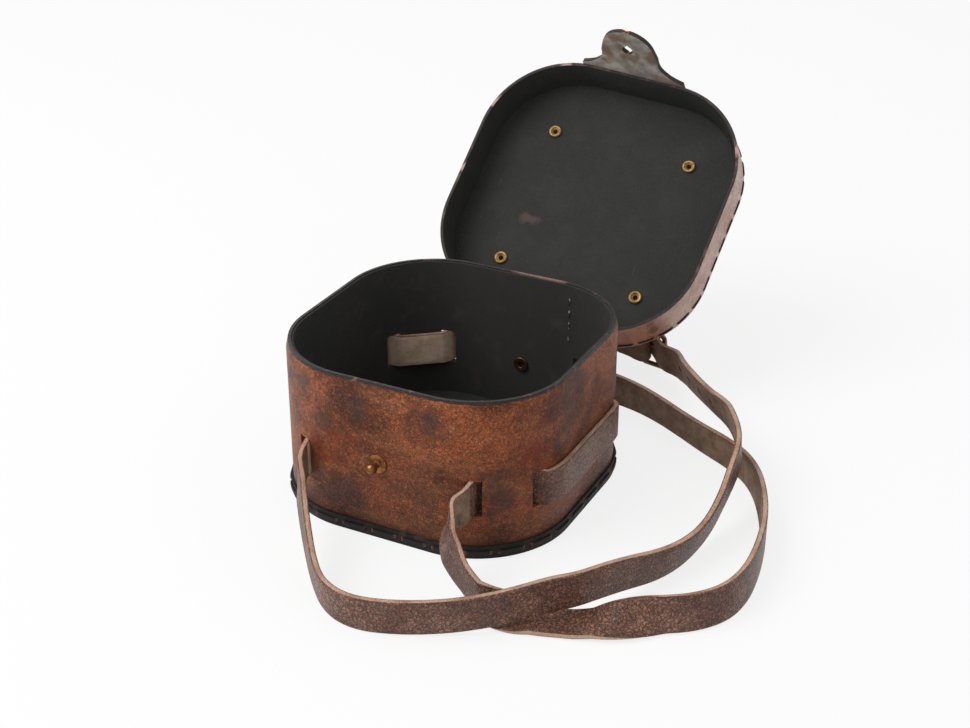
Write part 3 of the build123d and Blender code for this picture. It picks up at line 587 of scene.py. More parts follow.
close_tree(out("GeometryNodeInstanceOnPoints", sewn), given["Material"])


def standing(origin, along, outward):
    """The place of a flat row: its X runs along, its Z faces outward."""
    x, z = Vector(along).normalized(), Vector(outward).normalized()
    turn = Matrix((x, z.cross(x), z)).transposed().to_4x4()
    return Matrix.Translation(origin) @ turn


def twisted_thread(name, pale, dark):
    """Waxed linen with its twist, gone dark in places."""
    material, shader, where = start_material(name)
    wave = {"Vector": turned_to(where, turn=(0.4, 0.7, 0.6)), "Scale": 900.0, "Distortion": 2.0}
    twist = add("ShaderNodeTexWave", wave).outputs[1]
    colour = mix(rise(cloud(where, 420.0, 3.0), 0.38, 0.52), pale, dark)
    finish(shader, colour, plus(times(twist, 0.15), 0.65), twist, 0.0001, 0.25)
    return material


linen = twisted_thread("waxed_linen", (170, 158, 144), (62, 58, 54))
# The corner's radius and half the wall's straight sides, in millimetres.
wall_round, straight_x, straight_y = 41.5, 22.0, 21.0
seam_low, seam_high, seam_x = 44.0, 65.0, 28.0
seam_turn = np.arctan2(seam_x - straight_x, wall_round)
seam_out = Vector((sin(seam_turn), cos(seam_turn), 0))
seam_foot = Vector((straight_x, straight_y, (seam_low + seam_high) / 2)) * MM
inner_foot = seam_foot + seam_out * (wall_round - 3.2) * MM
outer_foot = seam_foot + seam_out * (wall_round - 0.3) * MM
thread_inside = {"Columns": 4, "Rows": 1, "Pitch": 0.006, "Length": 0.0036, "Width": 0.0009,
    "Height": 0.00045, "Material": linen}
inside_place = standing(inner_foot, (0, 0, 1), -seam_out)
seam = baked("seam_thread", stitch_rule, thread_inside, place=inside_place)
outside_place = standing(outer_foot, (0, 0, 1), seam_out)
outer_row = baked("seam_outside", stitch_rule, {**thread_inside, "Columns": 3}, place=outside_place)


def together(first, second):
    """The second mesh added to the first."""
    work = bmesh.new()
    work.from_mesh(first)
    work.from_mesh(second)
    work.to_mesh(first)
    work.free()


together(seam, outer_row)
joined(seam, "case", "thread", stands_for=("wall_seam_thread",))

# ---------- stud and its screw ----------
# A small brass ball on a turned neck and flange, held by a screw through the wall. The tongue
# of the lid buttons over it.
fittings = {"Columns": 1, "Rows": 1, "Pitch": 0.0, "Spacing": 0.0, "Sides": 32}
turned_rule, given = rule_tree("turned_fittings", fittings)
thin = 0.00001
wheel = {"Resolution": given["Sides"], "Radius": thin}
wheel = out("GeometryNodeCurvePrimitiveCircle", wheel)
level = out("GeometryNodeSetCurveNormal", {0: wheel}, mode="Z_UP")
turning = out("GeometryNodeMeshToCurve", {0: given["Geometry"]})
lathed = {"Curve": level, "Profile Curve": turning}
lathed = out("GeometryNodeCurveToMesh", lathed)
fitted = {"Points": grid_of(given), "Instance": lathed}
close_tree(out("GeometryNodeInstanceOnPoints", fitted), given["Material"])


def aged_brass(name, bright, dull, rough=0.38):
    """Old brass: bright where it is touched, brown and pitted elsewhere."""
    material, shader, where = start_material(name)
    tarnish = rise(cloud(where, 330.0, 5.0, 0.65), 0.36, 0.64)
    colour = mix(tarnish, bright, dull)
    colour = mix(times(rise(cloud(where, 1500.0), 0.6, 0.7), 0.5), colour, (58, 42, 30))
    uneven = plus(times(tarnish, 0.25), rough - 0.1)
    finish(shader, colour, uneven, cloud(where, 900.0, 4.0), 0.00005, 0.5)
    feed(shader.inputs, {"Metallic": minus(1.0, times(tarnish, 0.25))})
    return material


def lathe_line(*corners):
    """A turning's outline: radius and height of each corner, in millimetres."""
    return [(r * MM - thin, -z * MM, 0) for r, z in corners]


def ball(radius, middle, low, high, steps=10):
    """Points of a ball's side between two heights, in millimetres."""
    heights = [low + (high - low) * n / steps for n in range(steps + 1)]
    return [(sqrt(max(radius**2 - (z - middle) ** 2, 0)), z) for z in heights]


brass = aged_brass("aged_brass", (160, 108, 62), (96, 62, 38))
stud_line = lathe_line((0.0, 0.0), (4.1, 0.0), (4.3, 0.25), (4.2, 0.65), (3.7, 0.95), (2.4, 1.05),
    (1.7, 1.3), (1.4, 1.8), (1.4, 2.9), *ball(2.3, 4.9, 3.1, 7.2, 12))
stud_place = standing(Vector((-2.2, -62.5, 35.6)) * MM, (1, 0, 0), (0, -1, 0))
stud = baked("stud_turned", turned_rule, {"Material": brass}, stud_line, stud_place)
joined(stud, "case", "brass", stands_for=("stud",))
dressed("stud_screw", "case", "brass", brass, ease=0.0002)

# ---------- straps ----------
# One long strap of pebbled dark hide with pale cut edges. Its middle is woven in and out of
# eight slots in the wall, and its two free ends lie in loops on the table and buckle behind.
strap_width, strap_thick = 15.5 * MM, 2.6 * MM
edge_round, edge_mark = 0.55 * MM, 17 * MM
slot_reach, slot_swell = 3.5 * MM, 0.08


def rounded_corners(half_a, half_b, r, starts, step, count):
    """Points round a rectangle's corners: the sides and the first angle of each are given."""
    points = []
    for side_a, side_b, start in starts:
        a, b = side_a * (half_a - r), side_b * (half_b - r)
        for angle in [radians(start + step * number) for number in range(count)]:
            points.append((a + r * cos(angle), b + r * sin(angle)))
    return points


def run_marks(points):
    """How far along a row of points each of them is."""
    marks = [0.0]
    for before, after in zip(points, points[1:]):
        marks.append(marks[-1] + (Vector(after) - Vector(before)).length)
    return marks


def way_at(points, number):
    """Which way a row of points runs at one of them."""
    return (points[min(number + 1, len(points) - 1)] - points[max(number - 1, 0)]).normalized()


def strap_profile():
    """Across and through the strap, and metres round its edge, for one section."""
    half = strap_width / 2
    clockwise = ((1, 1, 90), (1, -1, 0), (-1, -1, -90), (-1, 1, 180))
    section = rounded_corners(half, strap_thick / 2, edge_round, clockwise, -45, 3)
    filled = []
    for (a, t), after in zip(section, section[1:] + section[:1]):
        filled.append((a, t))
        if abs(after[0] - a) > half:
            filled += [(a + (after[0] - a) * k / 7, t) for k in range(1, 7)]
    return filled, run_marks(filled + filled[:1])


def ribbon(name, rows, overs, tail=0.0, tight=()):
    """A strap laid along a row of points, with its grain side facing out."""
    section, marks = strap_profile()
    rows = [Vector(p) for p in rows]
    gone = run_marks(rows)
    work = bmesh.new()
    layer = work.loops.layers.uv.new("strap")
    rings = []
    for number, point in enumerate(rows):
        way = way_at(rows, number)
        over = overs[number] - way * overs[number].dot(way)
        over.normalize()
        face = way.cross(over)
        slim = 1.0
        if tail:
            slim = min(1.0, 0.12 + (gone[-1] - gone[number]) / tail)
        sway = 1 + 0.006 * noise.noise(point * 50)
        for slot_place in tight:
            apart = (point - slot_place).length / slot_reach
            sway += slot_swell * 2.718 ** (-apart * apart)
        ring = []
        for a, t in section:
            swell = 1 + 0.02 * noise.noise(point * 70 + Vector((a * 120, t * 200, 3)))
            ring.append(work.verts.new(point + over * a * slim * sway + face * t * swell))
        rings.append(ring)
    count = len(section)
    for number in range(len(rings) - 1):
        here, there = rings[number], rings[number + 1]
        for k in range(count):
            m = (k + 1) % count
            face = work.faces.new((here[k], here[m], there[m], there[k]))
            face.smooth = True
            spans = ((k, 0), (k + 1, 0), (k + 1, 1), (k, 1))
            for loop, (mark, ahead) in zip(face.loops, spans):
                loop[layer].uv = (marks[mark], gone[number + ahead])
    for ring, at in ((rings[0], 0.0), (rings[-1], gone[-1])):
        face = work.faces.new(ring)
        for loop in face.loops:
            loop[layer].uv = (edge_mark, at)
    return mesh_of(work, name)


def spline_rows(name, places):
    """The smooth line of a free end, read from the NURBS spline of its listed points."""
    curve = bpy.data.curves.new(name, "CURVE")
    curve.dimensions = "3D"
    curve.resolution_u = 12
    spline = curve.splines.new("NURBS")
    spline.points.add(len(places) - 1)
    for point, place in zip(spline.points, places):
        point.co = (*place, 1)
    spline.order_u = 3
    spline.use_endpoint_u = True
    read = as_mesh(linked(name, curve))
    rows = [v.co.copy() for v in read.vertices]
    bpy.data.meshes.remove(read)
    return rows


def leaned(places, leans, last_overs):
    """Which way is across the strap at each point: upright, tipped by its lean."""
    overs = []
    for number, lean in enumerate(leans):
        way = way_at(places, number)
        over = (Vector((0, 0, 1)) - way * way.z).normalized()
        overs.append(Matrix.Rotation(radians(-lean), 3, way) @ over)
    return overs + last_overs


def spread_over(overs, count):
    """The same, for each of many rows along the line."""
    steps = len(overs) - 1
    spread = []
    for number in range(count):
        at = number * steps / (count - 1)
        low = min(int(at), steps - 1)
        spread.append(overs[low].lerp(overs[low + 1], at - low).normalized())
    return spread


def strap_look(name, flesh_dark, flesh_pale):
    """Reddish-brown pebbled grain outside, soft flesh inside, and pale cut edges."""
    material, shader, where = start_material(name, "UV")
    parts = split(where)

    def between(low, high, soft=0.0004):
        first = rise(parts[0], low, low + soft)
        return times(first, rise(parts[0], high, high - soft))

    skin = placed(grain, {"Vector": where, "Pebbles": 640.0, "Creases": 420.0, "Cracked": 0.4})
    on_edge = math("MAXIMUM", between(0.0006, 0.0026), between(0.0182, 0.0202))
    flesh_side = between(0.0027, 0.0181)
    worn = rise(cloud(where, 45.0, 4.0, 0.6), 0.36, 0.66)
    grain_tone = mix(worn, (124, 80, 62), (164, 120, 98))
    folds = cloud(where, 470.0, 2.0, 0.5, 0.5)
    folds = math("ABSOLUTE", minus(folds, 0.5))
    crevice = rise(folds, 0.07, 0.01)
    # Painted shade in the crevices and in the pits between the pebbles.
    grain_tone = mix(times(crevice, 0.5), grain_tone, (42, 26, 21))
    pit_shade = times(minus(1.0, skin["Pebble"]), 0.72)
    grain_tone = mix(pit_shade, grain_tone, (40, 26, 21))
    nap = rise(cloud(where, 120.0, 5.0, 0.7), 0.35, 0.65)
    flesh_tone = mix(nap, flesh_dark, flesh_pale)
    fibres = cloud(turned_to(where, scale=(1, 0.25, 1)), 1400.0, 4.0, 0.7)
    flesh_tone = mix(times(fibres, 0.35), flesh_tone, (60, 46, 40))
    soiled = rise(cloud(where, 70.0, 3.0), 0.4, 0.75)
    edge_tone = mix(soiled, (206, 168, 144), (162, 122, 98))
    colour = mix(flesh_side, grain_tone, flesh_tone)
    colour = mix(on_edge, colour, edge_tone)
    rough = plus(times(flesh_side, 0.36), 0.38)
    grain_side = minus(1.0, flesh_side)
    relief = minus(skin["Height"], times(crevice, 1.2))
    relief = times(relief, grain_side)
    relief = plus(relief, times(fibres, 0.4))
    finish(shader, colour, rough, relief, 0.0004, 0.36)
    return material


strap_hide = strap_look("strap_hide", (118, 92, 74), (160, 132, 110))
# A copy with paler flesh: painted light on the woven middle's flesh side inside the box.
strap_lit_inside = strap_look("strap_hide_lit_inside", (200, 170, 144), (232, 206, 180))

# ---------- woven middle of the strap ----------
# It runs inside the wall at the corners, and outside along the sides and over the hinge flap.
# The hide bulges a little at each slot that it is pulled through.


def corner_at(side, end, angle, grow):
    """A point on a corner of the wall grown by so much, at an angle from the front or back."""
    reach, turn = wall_round + grow, radians(angle)
    x, y = straight_x + reach * sin(turn), straight_y + reach * cos(turn)
    return Vector((side * x, end * y, 0))


# How far outside and inside the wall's face the middle of the strap runs, in millimetres.
outside, inside = 1.65, -4.85


def slot_turn(steepness=50.0):
    """Half the turn round the corner that the strap needs to go through a slot."""
    return (outside - inside) / 2 / tan(radians(steepness)) / wall_round


def through_slot(side, end, angle, outward, steepness=50.0):
    """The strap's corners outside and inside a slot."""
    turn = outward * slot_turn(steepness) * 180 / pi
    return corner_at(side, end, angle + turn, outside), corner_at(side, end, angle - turn, inside)


def filleted(points, radii):
    """A row of points with each corner rounded, and steps of a few degrees round it."""
    rows = [points[0]]
    for before, here, after, radius in zip(points, points[1:], points[2:], radii):
        way_in, way_out = (here - before).normalized(), (after - here).normalized()
        turn = way_in.angle(way_out)
        if turn < 0.01:
            continue
        hand = 1 if way_in.cross(way_out).z > 0 else -1
        side = Vector((-way_in.y, way_in.x, 0)) * hand
        first = here - way_in * radius * tan(turn / 2)
        middle = first + side * radius
        for step in range(int(turn / radians(7)) + 2):
            angle = turn * step / (int(turn / radians(7)) + 1)
            arm = Matrix.Rotation(angle * hand, 3, "Z") @ (first - middle)
            rows.append(middle + arm)
    return rows + [points[-1]]


bend = 3.0
front_left, front_right = (25.0, 78.0), (25.0, 65.0)
back_left, back_right = (18.0, 57.5), (18.0, 76.0)
over_flap_x, over_flap_y = 29.5, 65.95
first_out, first_in = through_slot(-1, -1, front_left[0], -1)
last_out, last_in = through_slot(1, -1, front_right[0], -1, 65.0)
route, radii = [first_out + (first_out - first_in).normalized() * 2.0, first_in], [bend]
for side, near, far in ((-1, front_left, back_left), (1, front_right, back_right)):
    near_out, near_in = through_slot(side, -1, near[1], 1)
    far_out, far_in = through_slot(side, 1, far[1], 1)
    back_out, back_in = through_slot(side, 1, far[0], -1)
    swing, swing_radii = [], []
    for end, angle in ((-1, near[1]), (1, far[1])):
        half_turn = radians(90 - angle) / 2 - slot_turn() / 2
        reach = (wall_round + outside) * tan(half_turn)
        side_x = straight_x + wall_round + outside
        swing.append(Vector((side * side_x, end * (straight_y + reach), 0)))
        swing_radii.append((reach - bend * tan(radians(25)) - 0.2) / tan(half_turn))
    behind = Vector((side * over_flap_x, over_flap_y, 0))
    leg = [near_in, near_out, *swing, far_out, far_in, back_in, back_out, behind]
    leg_radii = [bend, bend, *swing_radii, *[bend] * 5]
    if side > 0:
        leg, leg_radii = leg[::-1], leg_radii[::-1]
    route, radii = route + leg, radii + leg_radii
route += [last_in, last_out + (last_out - last_in).normalized() * 2.0]
radii.append(bend)
strap_height, strap_step = 28.1, 0.003
woven_line = [Vector((p.x, p.y, strap_height)) * MM for p in filleted(route, radii)]
woven_fine = [woven_line[0]]
for place in woven_line[1:]:
    gap = place - woven_fine[-1]
    steps = max(1, int(gap.length / strap_step))
    woven_fine += [place - gap * (1 - step / steps) for step in range(1, steps + 1)]
upright_over = [Vector((0, 0, 1))] * len(woven_fine)
all_slots = ((-1, -1, front_left), (1, -1, front_right), (-1, 1, back_left), (1, 1, back_right))
slot_places = [corner_at(*way, angle, -1.6) for *way, angles in all_slots for angle in angles]
slot_places = [(place + Vector((0, 0, strap_height))) * MM for place in slot_places]
woven = ribbon("strap_middle", woven_fine[::-1], upright_over, tight=slot_places)
joined(woven, "case", "strap_leather", strap_lit_inside, stands_for=("strap_woven",))

# ---------- free ends of the strap ----------
# The long end loops along the table in front, round the right and home to the buckle behind.
# The short end lies flat where the long one crosses it, and carries the buckle.
buckle_middle = Vector((41.5, 130.2, 11.2))
buckle_turn = Matrix.Rotation(radians(-12), 3, "Z") @ Matrix.Rotation(radians(12), 3, "X")


def in_buckle(u, v, z=0.0):
    """A point in the leaning buckle's own frame, in millimetres of the case's."""
    return buckle_turn @ Vector((u, v, z)) + buckle_middle


buckle_over = buckle_turn @ Vector((0, 0, 1))
long_rows = [(-37.15, -63.16, 28.1, 0), (-36.18, -67.04, 28.1, 0), (-32.6, -74.2, 26.6, 8),
    (-25.0, -84.8, 21.7, 4), (-15.6, -96.5, 15.4, 1), (-5.3, -108.6, 10.2, -3),
    (5.8, -119.0, 8.1, -5), (20.7, -123.4, 8.1, -5), (37.2, -118.7, 8.1, -5),
    (54.0, -110.6, 8.8, -5), (68.6, -102.4, 11.2, -4), (79.6, -93.6, 13.3, -2),
    (87.3, -85.7, 14.5, -1), (94.5, -79.0, 14.6, -2), (100.8, -68.6, 14.4, -3),
    (106.3, -55.8, 11.9, -6), (112.2, -42.8, 8.9, -9), (117.1, -30.9, 8.1, -13),
    (120.0, -18.4, 8.3, -15), (121.7, -5.7, 10.8, -13), (122.4, 6.0, 16.6, -10),
    (122.2, 16.4, 21.9, -4), (121.2, 27.2, 24.6, 0), (118.0, 37.7, 25.1, 5),
    (112.5, 49.1, 25.0, 10), (105.7, 60.7, 24.0, 13), (92.7, 76.6, 19.8, 22),
    (81.1, 90.7, 17.0, 22), (69.4, 105.6, 14.2, 20), (63.0, 115.4, 12.2, 16)]
long_tail = [(16.5, -4.2), (7.2, -3.6), (-3.0, 5.2), (-9.5, 6.6), (-16.5, 4.6), (-37.0, 4.4)]
short_rows = [(38.83, -62.75, 28.1, 0), (38.9, -66.75, 28.1, 0), (36.4, -72.0, 27.2, 30),
    (38.5, -80.0, 20.8, 18), (48.0, -87.5, 14.5, -4), (57.5, -92.5, 10.6, -6),
    (63.0, -95.0, 9.0, 20), (68.6, -93.8, 6.4, 58), (76.4, -90.4, 2.6, 86), (88.0, -86.6, 1.9, 88),
    (99.3, -83.2, 2.5, 84), (112.4, -78.9, 6.4, 48), (124.6, -72.0, 8.2, 10),
    (136.9, -64.0, 8.1, 10), (145.5, -52.4, 8.1, 8), (148.1, -38.0, 7.85, 5),
    (147.1, -22.4, 7.85, 2), (144.5, -6.9, 7.85, 0), (140.6, 8.2, 7.85, 0), (134.8, 23.1, 7.85, 0),
    (127.5, 37.3, 7.85, 1), (118.3, 48.7, 7.9, 4), (106.2, 56.7, 8.0, 6), (92.7, 63.3, 8.0, 9),
    (78.8, 71.5, 8.0, 11), (65.5, 79.4, 8.0, 10), (51.7, 85.8, 8.0, 7), (36.9, 89.9, 7.85, 2),
    (22.0, 91.0, 7.85, 0), (8.5, 94.0, 7.85, 0), (-1.0, 102.4, 8.2, 0), (-3.4, 113.8, 9.0, -3),
    (1.6, 124.8, 10.0, -8), (10.2, 132.6, 11.0, -12)]
short_fold = [(-31.0, 1.45), (-18.5, 1.45), (-13.5, 1.45), (-9.05, 2.6), (-3.9, 2.6), (-3.9, -2.6),
    (-9.05, -2.6), (-13.5, -1.45), (-20.0, -1.45)]
first_hole, hole_pitch, hole_radius = 0.066, 0.016, 0.0017
hole_marks = [first_hole + hole_pitch * k for k in range(4)]


def punched(mesh, line, overs, marks):
    """The strap with a round hole through it at each distance before its end."""
    work = bmesh.new()
    to_end = 0.0
    for number in range(len(line) - 2, 0, -1):
        step = line[number + 1] - line[number]
        for mark in marks:
            if to_end <= mark < to_end + step.length:
                way, over = step.normalized(), overs[number]
                turn = Matrix((way, over, way.cross(over))).transposed().to_4x4()
                place = Matrix.Translation(line[number + 1] - way * (mark - to_end)) @ turn
                sizes = {"radius1": hole_radius, "radius2": hole_radius, "depth": 0.008}
                bmesh.ops.create_cone(work, cap_ends=True, segments=20, matrix=place, **sizes)
        to_end += step.length
    punch, strap = linked("punch", mesh_of(work, "punch")), linked(mesh.name, mesh)
    cut = strap.modifiers.new("holes", "BOOLEAN")
    cut.operation, cut.solver, cut.object = "DIFFERENCE", "EXACT", punch
    holed = as_mesh(strap)
    bpy.data.objects.remove(punch)
    return holed


def free_end(name, rows, finish_ways, tail=0.0, marks=()):
    """The mesh of a free end, and the points that it follows."""
    places = [Vector(row[:3]) for row in rows] + [in_buckle(u, v) for u, v in finish_ways]
    overs = leaned(places, [row[3] for row in rows], [buckle_over] * len(finish_ways))
    line = spline_rows(name, [p * MM for p in places])
    overs = spread_over(overs, len(line))
    mesh = ribbon(name, line, overs, tail)
    return (punched(mesh, line, overs, marks) if marks else mesh), line


long_mesh, long_line = free_end("strap_long", long_rows, long_tail, strap_width / 2, hole_marks)
short_mesh, short_line = free_end("strap_short", short_rows, short_fold)
long_strap = joined(long_mesh, "case", "strap_leather", strap_hide, stands_for=("strap_long_end",))
short_strap = joined(short_mesh, "case", "strap_leather", strap_hide,
    stands_for=("strap_short_end",))

# ---------- buckle ----------
# A plain wire frame with a prong, sewn into a fold of the short end by one rivet. A leather
# keeper holds the tail of the long end.


def wire(name, places, radius, closed=False, radii=None):
    """A round wire along corners in the buckle's frame, in millimetres."""
    curve = bpy.data.curves.new(name, "CURVE")
    curve.dimensions = "3D"
    curve.bevel_depth = radius * MM
    curve.bevel_resolution = 5
    curve.use_fill_caps = True
    spline = curve.splines.new("POLY")
    spline.points.add(len(places) - 1)
    spline.use_cyclic_u = closed
    for number, (point, place) in enumerate(zip(spline.points, places)):
        point.co = (*(in_buckle(*place) * MM), 1)
        point.radius = radii[number] if radii else 1.0
    mesh = cleaned(as_mesh(linked(name, curve)))
    mesh.shade_smooth()
    return mesh


dark_brass = aged_brass("buckle_brass", (150, 116, 70), (84, 64, 46), 0.45)
frame_middle, frame_half, frame_high, frame_corner = 0.5, 7.0, 9.65, 1.6
bar_u = frame_middle - frame_half
round_about = ((1, 1, 0), (-1, 1, 90), (-1, -1, 180), (1, -1, 270))
frame_line = rounded_corners(frame_half, frame_high, frame_corner, round_about, 18, 6)
frame_line = [(frame_middle + u, 0.0, z) for u, z in frame_line]
frame_mesh = wire("buckle_wire", frame_line, 1.2, closed=True)
buckle_wire = joined(frame_mesh, "case", "brass", dark_brass, stands_for=("buckle_frame",))
prong_points = [(-6.0, 1.9), (-4.5, 2.3), (0, 2.3), (6.0, 2.3), (8.2, 2.2), (9.0, 2.0)]
taper = [1, 1, 0.95, 0.85, 0.75, 0.5]
prong_mesh = wire("buckle_tongue", [(u, v, 0) for u, v in prong_points], 1.0, radii=taper)
eye_turns = np.linspace(0, 2 * pi, 24, endpoint=False)
eye_points = [(bar_u + 1.95 * cos(a), 1.95 * sin(a), 0) for a in eye_turns]
eye = wire("prong_eye", eye_points, 0.75, closed=True)
together(prong_mesh, eye)
buckle_tongue = joined(prong_mesh, "case", "brass", dark_brass, stands_for=("buckle_prong",))
fold_rivet = dressed("buckle_rivet", "case", "brass", dark_brass, ease=0.0003)
keeper = dressed("strap_keeper", "case", "strap_leather", black_worn, ease=0.0005)

# ---------- rivet behind the case ----------
# One domed brass rivet goes through the strap, the hinge flap and the wall, over a burr inside.
# It holds the flap to the case and keeps the strap from slipping.
dome_radius, dome_high = 4.0, 1.6
dome_ball = (dome_radius**2 + dome_high**2) / (2 * dome_high)
rivet_line = lathe_line((0, 0), *ball(dome_ball, dome_high - dome_ball, 0.0, dome_high, 8))
rivet_place = standing(Vector((3.5, 67.25, 26.5)) * MM, (-1, 0, 0), (0, 1, 0))
rivet = baked("rivet_dome", turned_rule, {"Material": brass}, rivet_line, rivet_place)
joined(rivet, "case", "brass", stands_for=("strap_rivet",))
burr_brass = aged_brass("burr_brass", (120, 84, 54), (72, 50, 36))
dressed("rivet_burr", "case", "brass", burr_brass, ease=0.0002)

# ---------- skirt of the lid ----------
# The lid's side is a strip of the same hide, black inside and painted at its mouth. It was
# made closed and is laid back here about the bend of the hinge flap.
hinge_foot = Vector((0, 0.071, 0.0443))
hinge_way = Vector((0.9988420267, -0.0183067856, -0.0444912047))
laid_back = 136.2
swing = Matrix.Rotation(radians(-laid_back), 4, hinge_way)
laid_open = Matrix.Translation(hinge_foot) @ swing @ Matrix.Translation(-hinge_foot)
shut = laid_open.inverted()


def as_closed(where):
    """The coordinates of the lid as it was before it was laid open."""
    return turned_to(where, place=shut.to_translation(), turn=shut.to_euler("XYZ"))


lid_hide, shader, where = start_material("lid_hide")
where = as_closed(where)
relief, colour = dyed_hide(where)
up = split(where)
painted = rise(hazy(where, 240.0, 0.0015, up[2]), 0.0550, 0.0545)
chipped = rise(cloud(where, 110.0, 5.0, 0.7), 0.56, 0.66)
colour = mix(painted, colour, mix(chipped, (62, 54, 52), (150, 116, 106)))
# The skirt's right side is painted pale in patches: a painted reflection on the glossy hide.
sheen_side = times(rise(up[0], 0.030, 0.052), rise(up[1], 0.060, 0.040))
sheen_side = times(sheen_side, rise(cloud(where, 70.0, 5.0), 0.2, 0.38))
on_skirt = minus(rise(up[2], 0.0760, 0.0745), painted)
sheen_side = times(sheen_side, on_skirt)
sheen_patches = rise(cloud(turned_to(where, place=(1, 4, 2)), 55.0, 5.0, 0.6), 0.3, 0.65)
sheen_tone = mix(sheen_patches, (196, 156, 138), (230, 200, 188))
colour = mix(times(sheen_side, 0.88), colour, sheen_tone)
back_side = times(times(rise(up[1], 0.044, 0.056), 0.7), on_skirt)
colour = mix(back_side, colour, (196, 122, 80))
colour = spots(where, colour, 0.8, (112, 56, 30), (((53.4, 52.4, 64.3), (4, 4, 9)),))
finish(shader, colour, hazy(where, 60.0, 0.3, 0.26), relief, 0.0003, 0.24)

lid_black, shader, where = start_material("lid_black")
skin = placed(grain, {"Vector": where, "Pebbles": 1000.0, "Cracked": 0.0})
where = as_closed(where)
colour = mix(rise(cloud(where, 60.0, 5.0, 0.6), 0.4, 0.7), (50, 50, 49), (56, 56, 54))
# The pebble tops are painted lighter than the pits: painted shade in the pits.
colour = mix(times(skin["Pebble"], 0.25), colour, (78, 77, 74))
colour = spots(where, colour, 0.36, (124, 98, 92), (((-30.0, 13.5, 72.3), (8, 3, 4)),))
scratch = turned_to(where, turn=(0, 0, 0.5), scale=(1, 0.06, 1))
scratches = rise(cloud(scratch, 900.0, 2.0), 0.72, 0.78)
colour = mix(times(scratches, 0.25), colour, (120, 112, 106))
finish(shader, colour, plus(times(skin["Pebble"], 0.1), 0.7), skin["Height"], 0.00025, 0.15)

edge_black, shader, where = start_material("edge_paint")
skin = placed(grain, {"Vector": where, "Pebbles": 1100.0, "Cracked": 0.4})
rubbed = rise(cloud(where, 110.0, 5.0, 0.65), 0.52, 0.72)
colour = mix(times(rubbed, 0.6), (54, 48, 47), (128, 98, 90))
colour = spots(as_closed(where), colour, 0.85, (206, 164, 156),
    (((-35.3, -62.7, 55.0), (8, 4, 6)), ((-62.7, -35.0, 55.0), (3, 4, 6)),
    ((-64.8, 3.1, 55.0), (3, 4, 6)), ((60.6, -41.7, 55.0), (4, 4, 6))))
finish(shader, colour, 0.5, skin["Height"], 0.0002)


def lid_face(middle, normal):
    """Skirt faces by side: 0 outside, 1 inside, 2 on the mouth's edge."""
    closed_middle, closed_normal = shut @ middle, shut.to_3x3() @ normal
    if closed_normal.z < -0.7:
        return 2
    outward = Vector((closed_middle.x, closed_middle.y + 0.0009, 0))
    return 0 if closed_normal.dot(outward) > 0 else 1


dressed("lid_skirt", "lid", "case_leather", lid_hide, lid_black, edge_black, ease=0.0003,
    pick=lid_face)

# ---------- plate and lining of the lid ----------
# The top is a second disc of hide let into the skirt, and the lace holds it there. A disc of
# black skiver is glued under it.
dressed("lid_plate", "lid", "case_leather", lid_hide, ease=0.0004)
dressed("lid_lining", "lid", "black_lining", lid_black, ease=0.0002)

# ---------- lace round the lid ----------
# The same waxed lace, cut narrower, sews the plate to the skirt in a running stitch. It shows
# as dark dashes round the skirt, near the top.
lid_width, lid_depth, lid_corner = 0.133, 0.1314, 0.0435
lid_sizes = {"Runs": 44, "Gap": 0.002, "Width": 0.0013, "Thickness": 0.0006}
proud, lid_shift, lace_up = lid_sizes["Thickness"] / 2, -0.0009, 0.0731
wide, deep = lid_width + 2 * proud, lid_depth + 2 * proud
lid_line = round_outline(wide, deep, lid_corner + proud, lid_shift, lace_up, lid_sizes["Runs"])
lid_sizes["Material"] = waxed_lace
lid_lace = baked("lid_lace", lace_rule, lid_sizes, lid_line, laid_open)
joined(lid_lace, "lid", "black_lace", stands_for=("lid_lacing",))

# ---------- eyelets and caps ----------
# Four tubular brass eyelets are rolled over inside the lid, with domed caps on top of it.
eyelet_brass = aged_brass("eyelet_brass", (184, 150, 98), (146, 116, 74), 0.62)
roll = [(2.5 + 0.75 * cos(a), -0.75 - 0.75 * sin(a)) for a in np.linspace(-pi / 2, pi, 13)]
eyelet_line = lathe_line((2.05, 2.9), (2.05, 0.0), *roll, (1.3, -0.5), (1.3, 2.9))
four_x, four_y, lining_up, plate_up = 0.75, 1.05, 72.3, 75.7
inside_up = Matrix.Translation(Vector((four_x, four_y, lining_up)) * MM)
four = {"Columns": 2, "Rows": 2, "Pitch": 72.2 * MM, "Spacing": 72.1 * MM, "Sides": 28}
eyelet_values, eyelet_place = {**four, "Material": eyelet_brass}, laid_open @ inside_up
eyelets = baked("eyelets", turned_rule, eyelet_values, eyelet_line, eyelet_place)
joined(eyelets, "lid", "brass", stands_for=("lid_eyelets",))
cap_radius, cap_high = 5.0, 2.0
cap_ball = (cap_radius**2 + cap_high**2) / (2 * cap_high)
cap_side = ball(cap_ball, cap_high - cap_ball, 0.15, cap_high, 8)
cap_line = lathe_line((0, -0.3), (4.6, -0.3), (cap_radius, 0.0), *cap_side)
caps_up = Matrix.Translation(Vector((four_x, four_y, plate_up)) * MM)
caps = baked("caps", turned_rule, {**four, "Material": brass}, cap_line, laid_open @ caps_up)
joined(caps, "lid", "brass", stands_for=("lid_caps",))

# ---------- hinge flap ----------
# One strip of hide is riveted low on the back of the case and sewn to the back of the skirt.
# It has no pin: the leather between them is the hinge.
flap_half, flap_thick = 0.028, 0.002
flap_rows, flap_columns, flap_step = 34, 15, 0.0018


def eased_line(corners, count):
    """Points along a quadratic B-spline of a few corners."""
    ends = [corners[0], *corners, corners[-1]]
    spans = len(ends) - 2
    line = []
    for number in range(count):
        at = number * spans / (count - 1)
        low = min(int(at), spans - 1)
        f = at - low
        a, b, c = ends[low : low + 3]
        line.append(a * (0.5 * (1 - f) ** 2) + b * (0.5 + f - f * f) + c * (0.5 * f * f))
    return line


